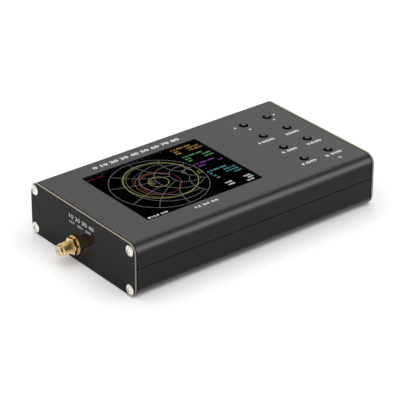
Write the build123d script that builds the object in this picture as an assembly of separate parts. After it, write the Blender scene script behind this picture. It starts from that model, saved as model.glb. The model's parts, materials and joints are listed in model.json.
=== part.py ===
from build123d import *

import os
from math import cos, pi, sqrt

# Handheld antenna analyzer in a two-half extruded aluminium case.
#
# The case lies on its back: X runs along the case from the test port (-X) to the USB
# end (+X), Y across it, Z up through the display.  The origin is the centre of the
# case's flat underside.  All sizes are millimetres.

# ---------------------------------------------------------------- driving sizes
# Case: two extruded halves closed by an end plate at each end
case_length = 150.0          # over both end plates
case_width = 84.0
case_height = 28.0
case_corner_radius = 5.0     # long outer edges
case_inner_radius = 1.0      # long inner edges
top_wall = 1.5
bottom_wall = 1.5
side_wall = 2.0
shell_end_chamfer = 0.5      # broken edge at the sawn ends
seam_z = 15.1                # height of the joint between the halves
seam_lower_radius = 0.3      # rounding of the lower half beside the joint
seam_upper_radius = 0.2
tongue_thickness = 0.8       # tongue of the upper half, inside the lower half's lip
tongue_depth = 2.0
tongue_clearance = 0.1

# End plates: fibreglass laminate
plate_thickness = 1.0
plate_hole_clearance = 0.15  # radial, around a screw

# Pan-head screws, M3 x 8
screw_inset = 3.6            # screw axis from the two outer faces of its corner
screw_radius = 1.45
screw_length = 8.0           # under the head
screw_point = 0.5            # chamfer at the tip
screw_head_radius = 2.75
screw_head_height = 2.0
screw_head_rim = 0.6         # height of the head's straight side
recess_width = 0.8
recess_length = 2.9
recess_depth = 1.3
thread_clearance = 0.05      # radial, between a screw and its tapped channel
screw_channel_wall = 1.0     # least wall of a screw channel towards the inside

# Circuit boards, held by their edges in grooves of the two halves
board_thickness = 1.6
groove_clearance = 0.05      # above and below a board's edge
board_edge_gap = 0.3         # between a board's edge and the side wall
board_end_gap = 0.3          # between a board's end and an end plate
board_rib_thickness = 1.2
board_rib_reach = 1.8
board_corner_radius = 1.0
main_board_z = 6.05          # underside of the main board

# Display module with a 3.5 inch, 4:3 active area
window_length = 70.6
window_front_margin = 20.4   # cut-out from the outer face of the front plate
window_corner_radius = 0.8
module_side_clearance = 2.75 # module to the screw channels of the upper half
module_bezel_near = 7.35     # module's edge to the cut-out, on the -Y side
module_bezel_far = 5.15
module_bezel_end = 3.25
gasket_thickness = 0.3
gasket_gap = 0.6             # gasket from the cut-out's edge
gasket_width = 1.8
window_recess = 0.5          # display window's face below the case's top
window_clearance = 0.1       # display window to the cut-out's edge
window_flange_thickness = 1.0
window_face_thickness = 0.7  # clear face over the LCD glass
lcd_glass_thickness = 1.0
lcd_glass_margin = 0.9       # LCD glass inside the module's outline
lcd_step_margin = 0.9        # step of the LCD glass inside the cut-out's edge
lcd_step_clearance = 0.05    # between that step and the window's pocket
backlight_thickness = 2.3
backlight_floor = 0.4
backlight_rim = 2.0
light_guide_clearance = 0.1
display_tape_thickness = 0.3
display_tape_margin = 5.0
flex_width = 22.0
flex_thickness = 0.2
flex_gap = 0.1               # between the module's side and the flex
flex_bend_radius = 1.3       # centreline
flex_run = 2.6               # straight run between the bend and the connector
flex_insertion = 1.5         # length inside the connector
flex_slot_clearance = 1.0
connector_length = 26.0
connector_width = 5.0
connector_height = 1.8
connector_mouth_clearance = 0.05

# Push-button switches, 6 x 6 mm body and 7 mm tall
button_end_margin = 14.0     # last column from the outer face of the rear plate
button_pitch_x = 15.8
button_columns = 2
button_first_y = 24.4        # first row, farthest towards +Y
button_pitch_y = 15.75
button_rows = 4
switch_height = 7.0          # board to the top of the stem
switch_body = 6.0
switch_body_height = 3.3
switch_cover_thickness = 0.2
switch_cover_clearance = 0.1
switch_post_radius = 0.45
switch_post_inset = 0.8
switch_post_rise = 0.4       # above the body's top
switch_post_clearance = 0.05
switch_well_radius = 2.3
stem_radius = 1.3
stem_edge_radius = 0.2
stem_flange_radius = 2.1
stem_flange_thickness = 1.1
stem_flange_clearance = 0.05
nub_radius = 0.8
nub_margin = 0.12            # length of a stem's nub beyond the travel
nub_clearance = 0.03
button_travel = 0.25
button_hole_radius = 2.45
dome_radius = 2.15
dome_flat_height = 0.2       # what is left of a dome's height when pressed
dome_thickness = 0.1
terminal_width = 0.7
terminal_length = 1.3
terminal_thickness = 0.2
terminal_spread = 4.5        # between the two terminals of one side

# Coaxial test port, 1/4-36 threaded jack through the front plate
port_y = 5.6
port_thread_radius = 3.175
port_thread_reach = 8.5      # end of the thread, from the plate's outer face
port_pilot_radius = 2.65
port_reach = 10.1            # end of the jack, from the plate's outer face
port_edge_chamfer = 0.3
port_shank_radius = 3.0      # the stretch that the nut grips, at the pitch radius
port_shank_past_nut = 0.2
port_hole_clearance = 0.1
port_flange_side = 9.4
port_flange_thickness = 1.6
port_leg_width = 1.2
port_leg_length = 4.0
port_leg_clearance = 0.05
insulator_radius = 2.05
insulator_recess = 0.2
insulator_clearance = 0.02
contact_radius = 0.635
contact_bore_radius = 0.47
contact_bore_depth = 3.0
contact_slit = 0.15
contact_slit_length = 2.4
contact_tail_radius = 0.4
contact_tail_length = 3.0
contact_tail_lift = 0.05     # solder film between tail and board
washer_radius = 4.9
washer_thickness = 0.6
washer_teeth = 12
washer_tooth_depth = 0.8
washer_tooth_gap = 0.9
nut_across_flats = 8.0
nut_thickness = 2.2
nut_bore_clearance = 0.05    # radial, around the shank
nut_chamfer_depth = 0.3
nut_turn = -10.0             # of its corners from +Y, once tightened

# Link between the two boards: a pin header plugged into a socket strip
link_gap = 8.5               # from the radio shield
link_y = 0.0
link_pitch = 2.54
link_columns = 2
link_rows = 10
link_header_height = 2.5
link_pin_side = 0.64
link_pin_length = 5.5        # below the header's body
link_hole_clearance = 0.05

# Radio section of the main board
shield_length = 42.0
shield_width = 38.0
shield_height = 4.5
shield_wall = 0.3
shield_gap = 2.4             # from the test port's legs
shield_lid_thickness = 0.2
shield_lid_skirt = 1.5
shield_lid_clearance = 0.05
chip_side = 5.0
chip_height = 0.9
chip_pitch_x = 11.0
chip_pitch_y = 11.0
chip_columns = 3
chip_rows = 3
oscillator_length = 5.0
oscillator_width = 3.2
oscillator_height = 1.5
oscillator_gap = 1.5         # from the shield's wall

# Processor under the control board
processor_side = 10.0
processor_height = 1.4
processor_offset = 20.25     # centre from the end of the display module
processor_y = 0.0
processor_leads_per_side = 16
processor_lead_pitch = 0.5
processor_lead_width = 0.22
processor_lead_length = 1.0
processor_lead_thickness = 0.15

# Battery between the boards
battery_gap = 6.4            # from the link socket
battery_margin_near = 15.2   # from the main board's -Y edge
battery_margin_far = 11.2    # from the main board's +Y edge
battery_swell_room = 2.1     # over the cell, under the processor
battery_edge_radius = 1.5
battery_tape_thickness = 0.4
battery_tape_margin = 6.0
lead_radius = 0.65
lead_pitch = 2.0             # also the pitch of the plug and socket
lead_straight = 1.5          # out of the cell before the leads turn
lead_bend_radius = 5.5       # centreline of the inner lead
lead_tail = 3.5              # straight run into the plug
battery_socket_length = 6.0
battery_socket_width = 6.0
battery_socket_height = 5.2
battery_socket_wall = 0.8
battery_plug_clearance = 0.1
battery_plug_depth = 3.4     # inside the socket
battery_plug_exposed = 1.6   # outside the socket
battery_socket_gap = 4.2     # from the back of the USB receptacle

# Power parts at the rear of the main board
inductor_side = 5.0
inductor_height = 2.8
inductor_corner_radius = 1.2
inductor_count = 2
inductor_pitch = 7.0
inductor_edge_gap = 4.7      # from the main board's -Y edge
inductor_end_gap = 7.2       # from the main board's rear end
capacitor_length = 2.0
capacitor_width = 1.25
capacitor_height = 0.9
capacitor_pitch = 3.6
capacitor_count = 8
capacitor_offset = 12.0      # first capacitor from the front of the battery
capacitor_row_inset = 3.5    # row of capacitors from the board's edge

# USB receptacle in the rear plate
usb_y = -12.0
usb_width = 7.5
usb_height = 2.9
usb_depth = 5.4
usb_wall = 0.3
usb_corner_radius = 0.8
usb_setback = 0.4            # mouth behind the plate's outer face
usb_tongue_width = 3.9
usb_tongue_thickness = 0.7
usb_tongue_setback = 0.6
usb_back_thickness = 0.8
usb_slot_clearance = 0.4

# Charge lamps beside the USB receptacle
lamp_y = (8.0, 15.0)
lamp_radius = 1.5
lamp_height = 3.0            # lamp axis above the main board
lamp_length = 5.2
lamp_proud = 0.6             # dome beyond the plate's outer face
lamp_hole_clearance = 0.15
lamp_holder_side = 5.0
lamp_holder_length = 3.0
lamp_holder_clearance = 0.05

# ------------------------------------------------------------- derived places
half_length = case_length / 2
half_width = case_width / 2
shell_length = case_length - 2 * plate_thickness
shell_end = shell_length / 2
inner_y = half_width - side_wall
inner_top = case_height - top_wall
screw_y = half_width - screw_inset
screw_z = (screw_inset, case_height - screw_inset)
channel_radius = screw_radius + thread_clearance
channel_inner_y = screw_y - channel_radius - screw_channel_wall

window_top = case_height - window_recess
window_flange_top = inner_top - gasket_thickness
window_bottom = window_flange_top - window_flange_thickness
lcd_step_top = window_top - window_face_thickness - lcd_step_clearance
lcd_bottom = window_bottom - lcd_glass_thickness
backlight_bottom = lcd_bottom - backlight_thickness
control_board_top = backlight_bottom - display_tape_thickness
control_board_z = control_board_top - board_thickness
main_board_top = main_board_z + board_thickness
board_half_length = shell_end - board_end_gap
board_half_width = inner_y - board_edge_gap

module_length = window_length + 2 * module_bezel_end
module_width = 2 * (channel_inner_y - module_side_clearance)
module_x = -half_length + window_front_margin + window_length / 2
module_y = 0.0
window_width = module_width - module_bezel_near - module_bezel_far
window_x = module_x
window_y = module_y + (module_bezel_near - module_bezel_far) / 2
port_z = main_board_top + contact_tail_lift + contact_tail_radius
stem_top = control_board_top + switch_height
usb_mouth = half_length - usb_setback
usb_z = main_board_top + usb_height / 2

button_places = [
    (
        half_length - button_end_margin - (button_columns - 1 - column) * button_pitch_x,
        button_first_y - row * button_pitch_y,
    )
    for row in range(button_rows)
    for column in range(button_columns)
]

port_legs_end = -shell_end + port_flange_thickness + port_leg_length
shield_x = port_legs_end + shield_gap + shield_length / 2
shield_y = port_y
link_x = shield_x + shield_length / 2 + link_gap + link_columns * link_pitch / 2
processor_x = module_x + module_length / 2 + processor_offset
processor_bottom = control_board_z - processor_lead_thickness - processor_height

plug_x = usb_mouth - usb_depth - battery_socket_gap - battery_socket_width / 2
battery_front = link_x + link_columns * link_pitch / 2 + battery_gap
battery_end = plug_x - lead_pitch / 2 - lead_bend_radius - lead_straight
battery_length = battery_end - battery_front
battery_width = 2 * board_half_width - battery_margin_near - battery_margin_far
battery_x = (battery_front + battery_end) / 2
battery_y = (battery_margin_near - battery_margin_far) / 2
battery_bottom = main_board_top + battery_tape_thickness
battery_thickness = processor_bottom - battery_swell_room - battery_bottom

cut_past = 1.0               # how far a cutting shape runs past the face it opens
same_place = 0.001           # two heights closer than this are the same

parts = {}


# ------------------------------------------------------------------- helpers
def block(x, y, z):
    """A box between two limits on each axis."""
    centre = Pos(sum(x) / 2, sum(y) / 2, sum(z) / 2)
    return centre * Box(x[1] - x[0], y[1] - y[0], z[1] - z[0])


def centred_block(x, y, length, width, z):
    """A box centred on x, y, between two heights."""
    return block(
        (x - length / 2, x + length / 2), (y - width / 2, y + width / 2), z
    )


def rod_x(x, y, z, radius):
    """A cylinder along X between two limits."""
    axis = Pos(sum(x) / 2, y, z) * Rot(0, 90, 0)
    return axis * Cylinder(radius, x[1] - x[0])


def rod_z(x, y, z, radius):
    """An upright cylinder between two heights."""
    return Pos(x, y, sum(z) / 2) * Cylinder(radius, z[1] - z[0])


def section_block(y, z):
    """A rectangle in the case's cross-section, as a YZ sketch."""
    centre = Pos((y[0] + y[1]) / 2, (z[0] + z[1]) / 2)
    return Plane.YZ * centre * Rectangle(abs(y[1] - y[0]), abs(z[1] - z[0]))


def case_outline():
    """The case's outer cross-section."""
    centre = Pos(0, case_height / 2)
    outline = RectangleRounded(case_width, case_height, case_corner_radius)
    return Plane.YZ * centre * outline


def case_cavity():
    """The clear space inside the walls, before ribs and screw channels."""
    centre = Pos(0, (bottom_wall + inner_top) / 2)
    cavity = RectangleRounded(
        2 * inner_y, inner_top - bottom_wall, case_inner_radius
    )
    return Plane.YZ * centre * cavity


def channel_bore(side, z):
    """The tapped bore of one screw channel."""
    return Plane.YZ * Pos(side * screw_y, z) * Circle(channel_radius)


def extrude_shell(section):
    """Extrudes a half's section along the case and breaks the sawn ends."""
    start = Pos(-shell_end, 0, 0)
    envelope = start * extrude(case_outline(), shell_length)
    ends = envelope.faces().sort_by(Axis.X)
    envelope = chamfer(ends[0].edges() + ends[-1].edges(), shell_end_chamfer)
    return (start * extrude(section, shell_length)) & envelope


def seam_corners(section):
    """The section's two outer corners at the joint between the halves."""
    return [
        v
        for v in section.vertices()
        if abs(v.Z - seam_z) < same_place
        and abs(abs(v.Y) - half_width) < same_place
    ]


def board_ribs(side, board_bottom, rib_low):
    """One rib beside a board's edge; rib_low puts it under the board."""
    if rib_low:
        top = board_bottom - groove_clearance
        z = (top - board_rib_thickness, top)
    else:
        low = board_bottom + board_thickness + groove_clearance
        z = (low, low + board_rib_thickness)
    y = (side * (inner_y - board_rib_reach), side * (inner_y + side_wall / 2))
    return section_block(y, z)


# ------------------------------------------------------------------ case halves
def make_upper_shell():
    above = section_block((-case_width, case_width), (seam_z, 2 * case_height))
    section = (case_outline() - case_cavity()) & above
    section = fillet(seam_corners(section), seam_upper_radius)
    ledge = control_board_top + groove_clearance
    for side in (-1, 1):
        channel = section_block(
            (side * channel_inner_y, side * (inner_y + side_wall / 2)),
            (ledge, inner_top + top_wall / 2),
        )
        tongue = section_block(
            (side * inner_y, side * (inner_y + tongue_thickness)),
            (seam_z - tongue_depth, seam_z + tongue_depth),
        )
        rib = board_ribs(side, control_board_z, rib_low=True)
        section = section + channel + tongue + rib
        section = section - channel_bore(side, screw_z[1])
    shell = extrude_shell(section)
    window = RectangleRounded(window_length, window_width, window_corner_radius)
    cut_start = Pos(window_x, window_y, inner_top - top_wall)
    shell = shell - cut_start * extrude(window, 3 * top_wall)
    for x, y in button_places:
        depth = (inner_top - top_wall, case_height + top_wall)
        shell = shell - rod_z(x, y, depth, button_hole_radius)
    return shell


def make_lower_shell():
    below = section_block((-case_width, case_width), (-case_height, seam_z))
    section = (case_outline() - case_cavity()) & below
    section = fillet(seam_corners(section), seam_lower_radius)
    ledge = main_board_z - groove_clearance
    rebate_width = tongue_thickness + tongue_clearance
    rebate_z = (seam_z - tongue_depth - tongue_clearance, case_height)
    for side in (-1, 1):
        rebate = section_block(
            (side * (inner_y - side_wall), side * (inner_y + rebate_width)),
            rebate_z,
        )
        channel = section_block(
            (side * channel_inner_y, side * (inner_y + side_wall / 2)),
            (bottom_wall / 2, ledge),
        )
        rib = board_ribs(side, main_board_z, rib_low=False)
        section = (section - rebate) + channel + rib
        section = section - channel_bore(side, screw_z[0])
    return extrude_shell(section)


# ------------------------------------------------------- end plates and screws
def make_plate(outer_x, inner_x):
    """An end plate with its four screw holes, between two X places."""
    low, high = sorted((outer_x, inner_x))
    plate = Pos(low, 0, 0) * extrude(case_outline(), high - low)
    for side in (-1, 1):
        for z in screw_z:
            hole_radius = screw_radius + plate_hole_clearance
            reach = (low - plate_thickness, high + plate_thickness)
            plate = plate - rod_x(reach, side * screw_y, z, hole_radius)
    return plate


def make_front_plate():
    plate = make_plate(-half_length, -shell_end)
    hole = port_thread_radius + port_hole_clearance
    reach = (-half_length - plate_thickness, -shell_end + plate_thickness)
    return plate - rod_x(reach, port_y, port_z, hole)


def make_rear_plate():
    plate = make_plate(half_length, shell_end)
    reach = (shell_end - plate_thickness, half_length + plate_thickness)
    slot = RectangleRounded(
        usb_width + 2 * usb_slot_clearance,
        usb_height + 2 * usb_slot_clearance,
        usb_corner_radius + usb_slot_clearance,
    )
    slot_solid = extrude(Plane.YZ * Pos(usb_y, usb_z) * slot, reach[1] - reach[0])
    plate = plate - Pos(reach[0], 0, 0) * slot_solid
    for y in lamp_y:
        hole = lamp_radius + lamp_hole_clearance
        plate = plate - rod_x(reach, y, main_board_top + lamp_height, hole)
    return plate


def make_screw():
    """A pan-head screw along +Z, with the underside of its head at Z = 0."""
    crown = screw_head_height - screw_head_rim
    profile = Polyline(
        (0, -screw_length),
        (screw_radius - screw_point, -screw_length),
        (screw_radius, -screw_length + screw_point),
        (screw_radius, 0),
        (screw_head_radius, 0),
        (screw_head_radius, screw_head_rim),
    )
    sphere_radius = (screw_head_radius**2 + crown**2) / (2 * crown)
    halfway = screw_head_radius / 2
    drop = sphere_radius - sqrt(sphere_radius**2 - halfway**2)
    dome = ThreePointArc(
        (screw_head_radius, screw_head_rim),
        (halfway, screw_head_height - drop),
        (0, screw_head_height),
    )
    axis_line = Line((0, screw_head_height), (0, -screw_length))
    face = Plane.XZ * make_face(profile + dome + axis_line)
    screw = revolve(face, Axis.Z)
    recess_z = (screw_head_height - recess_depth, screw_head_height * 2)
    for length, width in (
        (recess_length, recess_width),
        (recess_width, recess_length),
    ):
        screw = screw - centred_block(0, 0, length, width, recess_z)
    return screw


def make_plate_screws(outer_x):
    """The four screws of one end plate, heads on the plate's outer face."""
    outward = 90 if outer_x > 0 else -90
    return [
        Pos(outer_x, side * screw_y, z) * Rot(0, outward, 0) * make_screw()
        for side in (-1, 1)
        for z in screw_z
    ]


# ------------------------------------------------------------------- test port
def port_ring(reach, radius):
    """A cylinder on the port's axis between two reaches from the plate's face."""
    x = (-half_length - reach[1], -half_length - reach[0])
    return rod_x(x, port_y, port_z, radius)


def make_port_body():
    back = -plate_thickness
    flange_back = back - port_flange_thickness
    shank_end = washer_thickness + nut_thickness + port_shank_past_nut
    body = port_ring((back, shank_end), port_shank_radius)
    body = body + port_ring((shank_end, port_thread_reach), port_thread_radius)
    pilot = port_ring((port_thread_reach, port_reach), port_pilot_radius)
    tip = pilot.faces().sort_by(Axis.X)[0]
    body = body + chamfer(tip.edges(), port_edge_chamfer)
    side = port_flange_side / 2
    body = body + block(
        (-half_length - back, -half_length - flange_back),
        (port_y - side, port_y + side),
        (port_z - side, port_z + side),
    )
    leg_x = (-half_length - flange_back, -half_length - flange_back + port_leg_length)
    above = main_board_top + port_leg_clearance
    below = main_board_z - port_leg_clearance
    for z in ((above, above + port_leg_width), (below - port_leg_width, below)):
        for across in (-1, 1):
            outer = port_y + across * side
            inner = outer - across * port_leg_width
            body = body + block(leg_x, sorted((inner, outer)), z)
    bore = insulator_radius + insulator_clearance
    return body - port_ring((flange_back - port_leg_length, port_reach * 2), bore)


def make_port_insulator():
    back = -plate_thickness - port_flange_thickness
    front = port_reach - insulator_recess
    tube = port_ring((back, front), insulator_radius)
    return tube - port_ring(
        (back - cut_past, front + cut_past), contact_radius + insulator_clearance
    )


def make_port_contact():
    back = -plate_thickness - port_flange_thickness
    front = port_reach - insulator_recess
    pin = port_ring((back, front), contact_radius)
    pin = pin + port_ring((back - contact_tail_length, back), contact_tail_radius)
    pin = pin - port_ring((front - contact_bore_depth, front + cut_past), contact_bore_radius)
    slit_x = (-half_length - front - cut_past, -half_length - front + contact_slit_length)
    half_slit = contact_slit / 2
    slit_reach = 2 * contact_radius
    pin = pin - block(
        slit_x,
        (port_y - half_slit, port_y + half_slit),
        (port_z - slit_reach, port_z + slit_reach),
    )
    return pin - block(
        slit_x,
        (port_y - slit_reach, port_y + slit_reach),
        (port_z - half_slit, port_z + half_slit),
    )


def make_port_washer():
    """Internal-tooth lock washer between the plate and the nut."""
    hole = port_thread_radius + port_hole_clearance
    washer = port_ring((0, washer_thickness), washer_radius)
    washer = washer - port_ring((-cut_past, washer_thickness + cut_past), hole)
    tooth_pitch = 360 / washer_teeth
    for step in range(washer_teeth):
        angle = step * tooth_pitch + tooth_pitch / 2
        gap = Box(
            2 * (washer_thickness + cut_past),
            washer_tooth_gap,
            washer_tooth_depth + hole,
        )
        place = Pos(-half_length, port_y, port_z) * Rot(angle, 0, 0)
        washer = washer - place * Pos(0, 0, (washer_tooth_depth + hole) / 2) * gap
    return washer


def make_port_nut():
    start = washer_thickness
    end = start + nut_thickness
    corner_radius = nut_across_flats / sqrt(3)
    hexagon = RegularPolygon(corner_radius, 6, major_radius=True, rotation=nut_turn)
    place = Plane.YZ * Pos(port_y, port_z)
    nut = Pos(-half_length - end, 0, 0) * extrude(place * hexagon, nut_thickness)
    chamfer_run = corner_radius - nut_across_flats / 2
    turned = port_ring((start, end), corner_radius)
    ends = turned.faces().filter_by(GeomType.PLANE)
    turned = chamfer(ends.edges(), nut_chamfer_depth, chamfer_run)
    nut = nut & turned
    bore = port_shank_radius + nut_bore_clearance
    return nut - port_ring((start - cut_past, end + cut_past), bore)


# --------------------------------------------------------------------- display
def module_block(margin, z):
    """A slab of the display module, margin inside its outline."""
    return centred_block(
        module_x,
        module_y,
        module_length - 2 * margin,
        module_width - 2 * margin,
        z,
    )


def make_gasket():
    reach = gasket_gap + gasket_width
    outer = Rectangle(window_length + 2 * reach, window_width + 2 * reach)
    inner = Rectangle(window_length + 2 * gasket_gap, window_width + 2 * gasket_gap)
    frame = extrude(outer - inner, gasket_thickness)
    return Pos(window_x, window_y, window_flange_top) * frame


def glass_step(grow, z):
    """The raised part of the LCD glass, in the cut-out, grown all round."""
    inset = 2 * (lcd_step_margin - grow)
    return centred_block(
        window_x, window_y, window_length - inset, window_width - inset, z
    )


def make_lcd_glass():
    """The display's glass, stepped so that its picture lies close under the window."""
    glass = module_block(lcd_glass_margin, (lcd_bottom, window_bottom))
    return glass + glass_step(0, (window_bottom, lcd_step_top))


def make_window():
    """The display window: a flange under the case and a hollow face in its cut-out."""
    flange = module_block(0, (window_bottom, window_flange_top))
    face = RectangleRounded(
        window_length - 2 * window_clearance,
        window_width - 2 * window_clearance,
        window_corner_radius - window_clearance,
    )
    face_solid = extrude(face, window_top - window_flange_top)
    window = flange + Pos(window_x, window_y, window_flange_top) * face_solid
    pocket_top = lcd_step_top + lcd_step_clearance
    return window - glass_step(lcd_step_clearance, (window_bottom - cut_past, pocket_top))


def make_backlight_frame():
    pocket_z = (backlight_bottom + backlight_floor, lcd_bottom + cut_past)
    frame = module_block(0, (backlight_bottom, lcd_bottom))
    return frame - module_block(backlight_rim, pocket_z)


def make_light_guide():
    margin = backlight_rim + light_guide_clearance
    return module_block(margin, (backlight_bottom + backlight_floor, lcd_bottom))


def make_display_tape():
    return module_block(display_tape_margin, (control_board_top, backlight_bottom))


module_low_y = module_y - module_width / 2
flex_y = module_low_y - flex_gap - flex_thickness / 2
flex_z = control_board_z - connector_height / 2
connector_front_y = flex_y + flex_bend_radius + flex_run


def make_flex():
    """The display's ribbon: down through the board, then back to its connector."""
    bend_centre = (flex_y + flex_bend_radius, flex_z + flex_bend_radius)
    diagonal = flex_bend_radius * cos(pi / 4)
    line = Polyline((flex_y, lcd_bottom), (flex_y, bend_centre[1]))
    line = line + ThreePointArc(
        (flex_y, bend_centre[1]),
        (bend_centre[0] - diagonal, bend_centre[1] - diagonal),
        (bend_centre[0], flex_z),
    )
    line = line + Polyline(
        (bend_centre[0], flex_z), (connector_front_y + flex_insertion, flex_z)
    )
    ribbon = Plane.YZ * trace(line, flex_thickness)
    return Pos(module_x - flex_width / 2, 0, 0) * extrude(ribbon, flex_width)


def make_display_connector():
    y = (connector_front_y, connector_front_y + connector_width)
    x = (module_x - connector_length / 2, module_x + connector_length / 2)
    body = block(x, y, (control_board_z - connector_height, control_board_z))
    half_mouth = flex_thickness / 2 + connector_mouth_clearance
    mouth_x = flex_width / 2 + connector_mouth_clearance
    mouth = block(
        (module_x - mouth_x, module_x + mouth_x),
        (y[0] - cut_past, y[0] + flex_insertion + connector_mouth_clearance),
        (flex_z - half_mouth, flex_z + half_mouth),
    )
    return body - mouth


# ---------------------------------------------------------------------- boards
def make_board(z):
    """A bare circuit board in its grooves, between the two end plates."""
    outline = RectangleRounded(
        2 * board_half_length, 2 * board_half_width, board_corner_radius
    )
    return Pos(0, 0, z) * extrude(outline, board_thickness)


def make_main_board():
    """The main board, cut back round the test port's flange."""
    half_notch = port_flange_side / 2 + board_end_gap
    notch_end = -shell_end + port_flange_thickness + port_leg_clearance
    notch = block(
        (-case_length, notch_end),
        (port_y - half_notch, port_y + half_notch),
        (main_board_z - board_thickness, main_board_top + board_thickness),
    )
    return make_board(main_board_z) - notch


def make_control_board():
    board = make_board(control_board_z)
    slot = centred_block(
        module_x,
        flex_y,
        flex_width + 2 * flex_slot_clearance,
        flex_thickness + 2 * flex_slot_clearance,
        (control_board_z - cut_past, control_board_top + cut_past),
    )
    return board - slot


# -------------------------------------------------------------------- switches
switch_body_top = control_board_top + switch_body_height
stem_flange_top = switch_body_top - stem_flange_clearance
stem_flange_low = stem_flange_top - stem_flange_thickness
nub_low = stem_flange_low - button_travel - nub_margin
dome_height = dome_flat_height + button_travel
well_floor = nub_low - nub_clearance - dome_height


def switch_posts(x, y, z, radius):
    """The four corner posts of a switch body, or the holes for them."""
    offset = switch_body / 2 - switch_post_inset
    return [
        rod_z(x + dx * offset, y + dy * offset, z, radius)
        for dx in (-1, 1)
        for dy in (-1, 1)
    ]


def make_switch_base(x, y):
    base = centred_block(
        x, y, switch_body, switch_body, (control_board_top, switch_body_top)
    )
    base = base - rod_z(x, y, (well_floor, switch_body_top + cut_past), switch_well_radius)
    post_z = (switch_body_top, switch_body_top + switch_post_rise)
    for post in switch_posts(x, y, post_z, switch_post_radius):
        base = base + post
    return base


def make_switch_cover(x, y):
    z = (switch_body_top, switch_body_top + switch_cover_thickness)
    cover = centred_block(x, y, switch_body, switch_body, z)
    through = (z[0] - cut_past, z[1] + cut_past)
    cover = cover - rod_z(x, y, through, stem_radius + switch_cover_clearance)
    hole = switch_post_radius + switch_post_clearance
    for post in switch_posts(x, y, through, hole):
        cover = cover - post
    return cover


def make_switch_terminals(x, y):
    z = (control_board_top, control_board_top + terminal_thickness)
    terminals = []
    for dx in (-1, 1):
        for dy in (-1, 1):
            start = x + dx * switch_body / 2
            run = sorted((start, start + dx * terminal_length))
            middle = y + dy * terminal_spread / 2
            half = terminal_width / 2
            terminals.append(block(run, (middle - half, middle + half), z))
    return terminals


def make_stem(x, y):
    """The moving stem of one push button."""
    stem = rod_z(x, y, (stem_flange_top, stem_top), stem_radius)
    top = stem.faces().sort_by(Axis.Z)[-1]
    stem = fillet(top.edges(), stem_edge_radius)
    stem = stem + rod_z(
        x, y, (stem_flange_low, stem_flange_top), stem_flange_radius
    )
    return stem + rod_z(x, y, (nub_low, stem_flange_low), nub_radius)


def make_dome(x, y):
    """The snap dome that returns a stem: a thin spherical cap."""
    sphere_radius = (dome_radius**2 + dome_height**2) / (2 * dome_height)
    centre_z = well_floor + dome_height - sphere_radius
    ball = Sphere(sphere_radius) - Sphere(sphere_radius - dome_thickness)
    cap = Pos(x, y, centre_z) * ball
    reach = 2 * dome_radius
    return cap & centred_block(x, y, reach, reach, (well_floor, stem_top))


# ------------------------------------------------------------------- processor
def make_processor():
    """The processor's package and leads, under the control board."""
    lead_foot = (
        control_board_z - processor_lead_thickness,
        control_board_z,
    )
    body_z = (processor_bottom, lead_foot[0])
    pieces = [
        centred_block(
            processor_x, processor_y, processor_side, processor_side, body_z
        )
    ]
    first = -(processor_leads_per_side - 1) / 2 * processor_lead_pitch
    middle = processor_side / 2
    for step in range(processor_leads_per_side):
        along = first + step * processor_lead_pitch
        for side in (-1, 1):
            out = processor_x + side * middle
            pieces.append(
                centred_block(
                    out,
                    processor_y + along,
                    processor_lead_length,
                    processor_lead_width,
                    lead_foot,
                )
            )
            out = processor_y + side * middle
            pieces.append(
                centred_block(
                    processor_x + along,
                    out,
                    processor_lead_width,
                    processor_lead_length,
                    lead_foot,
                )
            )
    return pieces


# ------------------------------------------------------------- link connectors
link_header_low = control_board_z - link_header_height
link_places = [
    (
        link_x + (column - (link_columns - 1) / 2) * link_pitch,
        link_y + (row - (link_rows - 1) / 2) * link_pitch,
    )
    for column in range(link_columns)
    for row in range(link_rows)
]


def link_body(z):
    return centred_block(
        link_x, link_y, link_columns * link_pitch, link_rows * link_pitch, z
    )


def make_link_header():
    """Header body and pins, soldered under the control board."""
    body = link_body((link_header_low, control_board_z))
    for x, y in link_places:
        pin_z = (link_header_low - link_pin_length, control_board_z)
        body = body + centred_block(x, y, link_pin_side, link_pin_side, pin_z)
    return body


def make_link_socket():
    body = link_body((main_board_top, link_header_low))
    side = link_pin_side + 2 * link_hole_clearance
    low = link_header_low - link_pin_length - link_hole_clearance
    for x, y in link_places:
        body = body - centred_block(x, y, side, side, (low, link_header_low + cut_past))
    return body


# --------------------------------------------------------------- radio section
def make_shield_fence():
    z = (main_board_top, main_board_top + shield_height)
    fence = centred_block(shield_x, shield_y, shield_length, shield_width, z)
    inner = centred_block(
        shield_x,
        shield_y,
        shield_length - 2 * shield_wall,
        shield_width - 2 * shield_wall,
        (z[0] - cut_past, z[1] + cut_past),
    )
    return fence - inner


def make_shield_lid():
    top = main_board_top + shield_height
    grow = 2 * (shield_lid_clearance + shield_lid_thickness)
    lid = centred_block(
        shield_x,
        shield_y,
        shield_length + grow,
        shield_width + grow,
        (top - shield_lid_skirt, top + shield_lid_thickness),
    )
    hollow = centred_block(
        shield_x,
        shield_y,
        shield_length + 2 * shield_lid_clearance,
        shield_width + 2 * shield_lid_clearance,
        (top - shield_lid_skirt - cut_past, top),
    )
    return lid - hollow


def make_radio_chips():
    z = (main_board_top, main_board_top + chip_height)
    return [
        centred_block(
            shield_x + (column - (chip_columns - 1) / 2) * chip_pitch_x,
            shield_y + (row - (chip_rows - 1) / 2) * chip_pitch_y,
            chip_side,
            chip_side,
            z,
        )
        for column in range(chip_columns)
        for row in range(chip_rows)
    ]


def make_oscillator():
    edge = shield_y - shield_width / 2 - shield_lid_clearance - shield_lid_thickness
    y = edge - oscillator_gap - oscillator_width / 2
    z = (main_board_top, main_board_top + oscillator_height)
    return centred_block(shield_x, y, oscillator_length, oscillator_width, z)


# --------------------------------------------------------------------- battery
def make_battery():
    z = (battery_bottom, battery_bottom + battery_thickness)
    cell = centred_block(battery_x, battery_y, battery_length, battery_width, z)
    return fillet(cell.edges(), battery_edge_radius)


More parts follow.
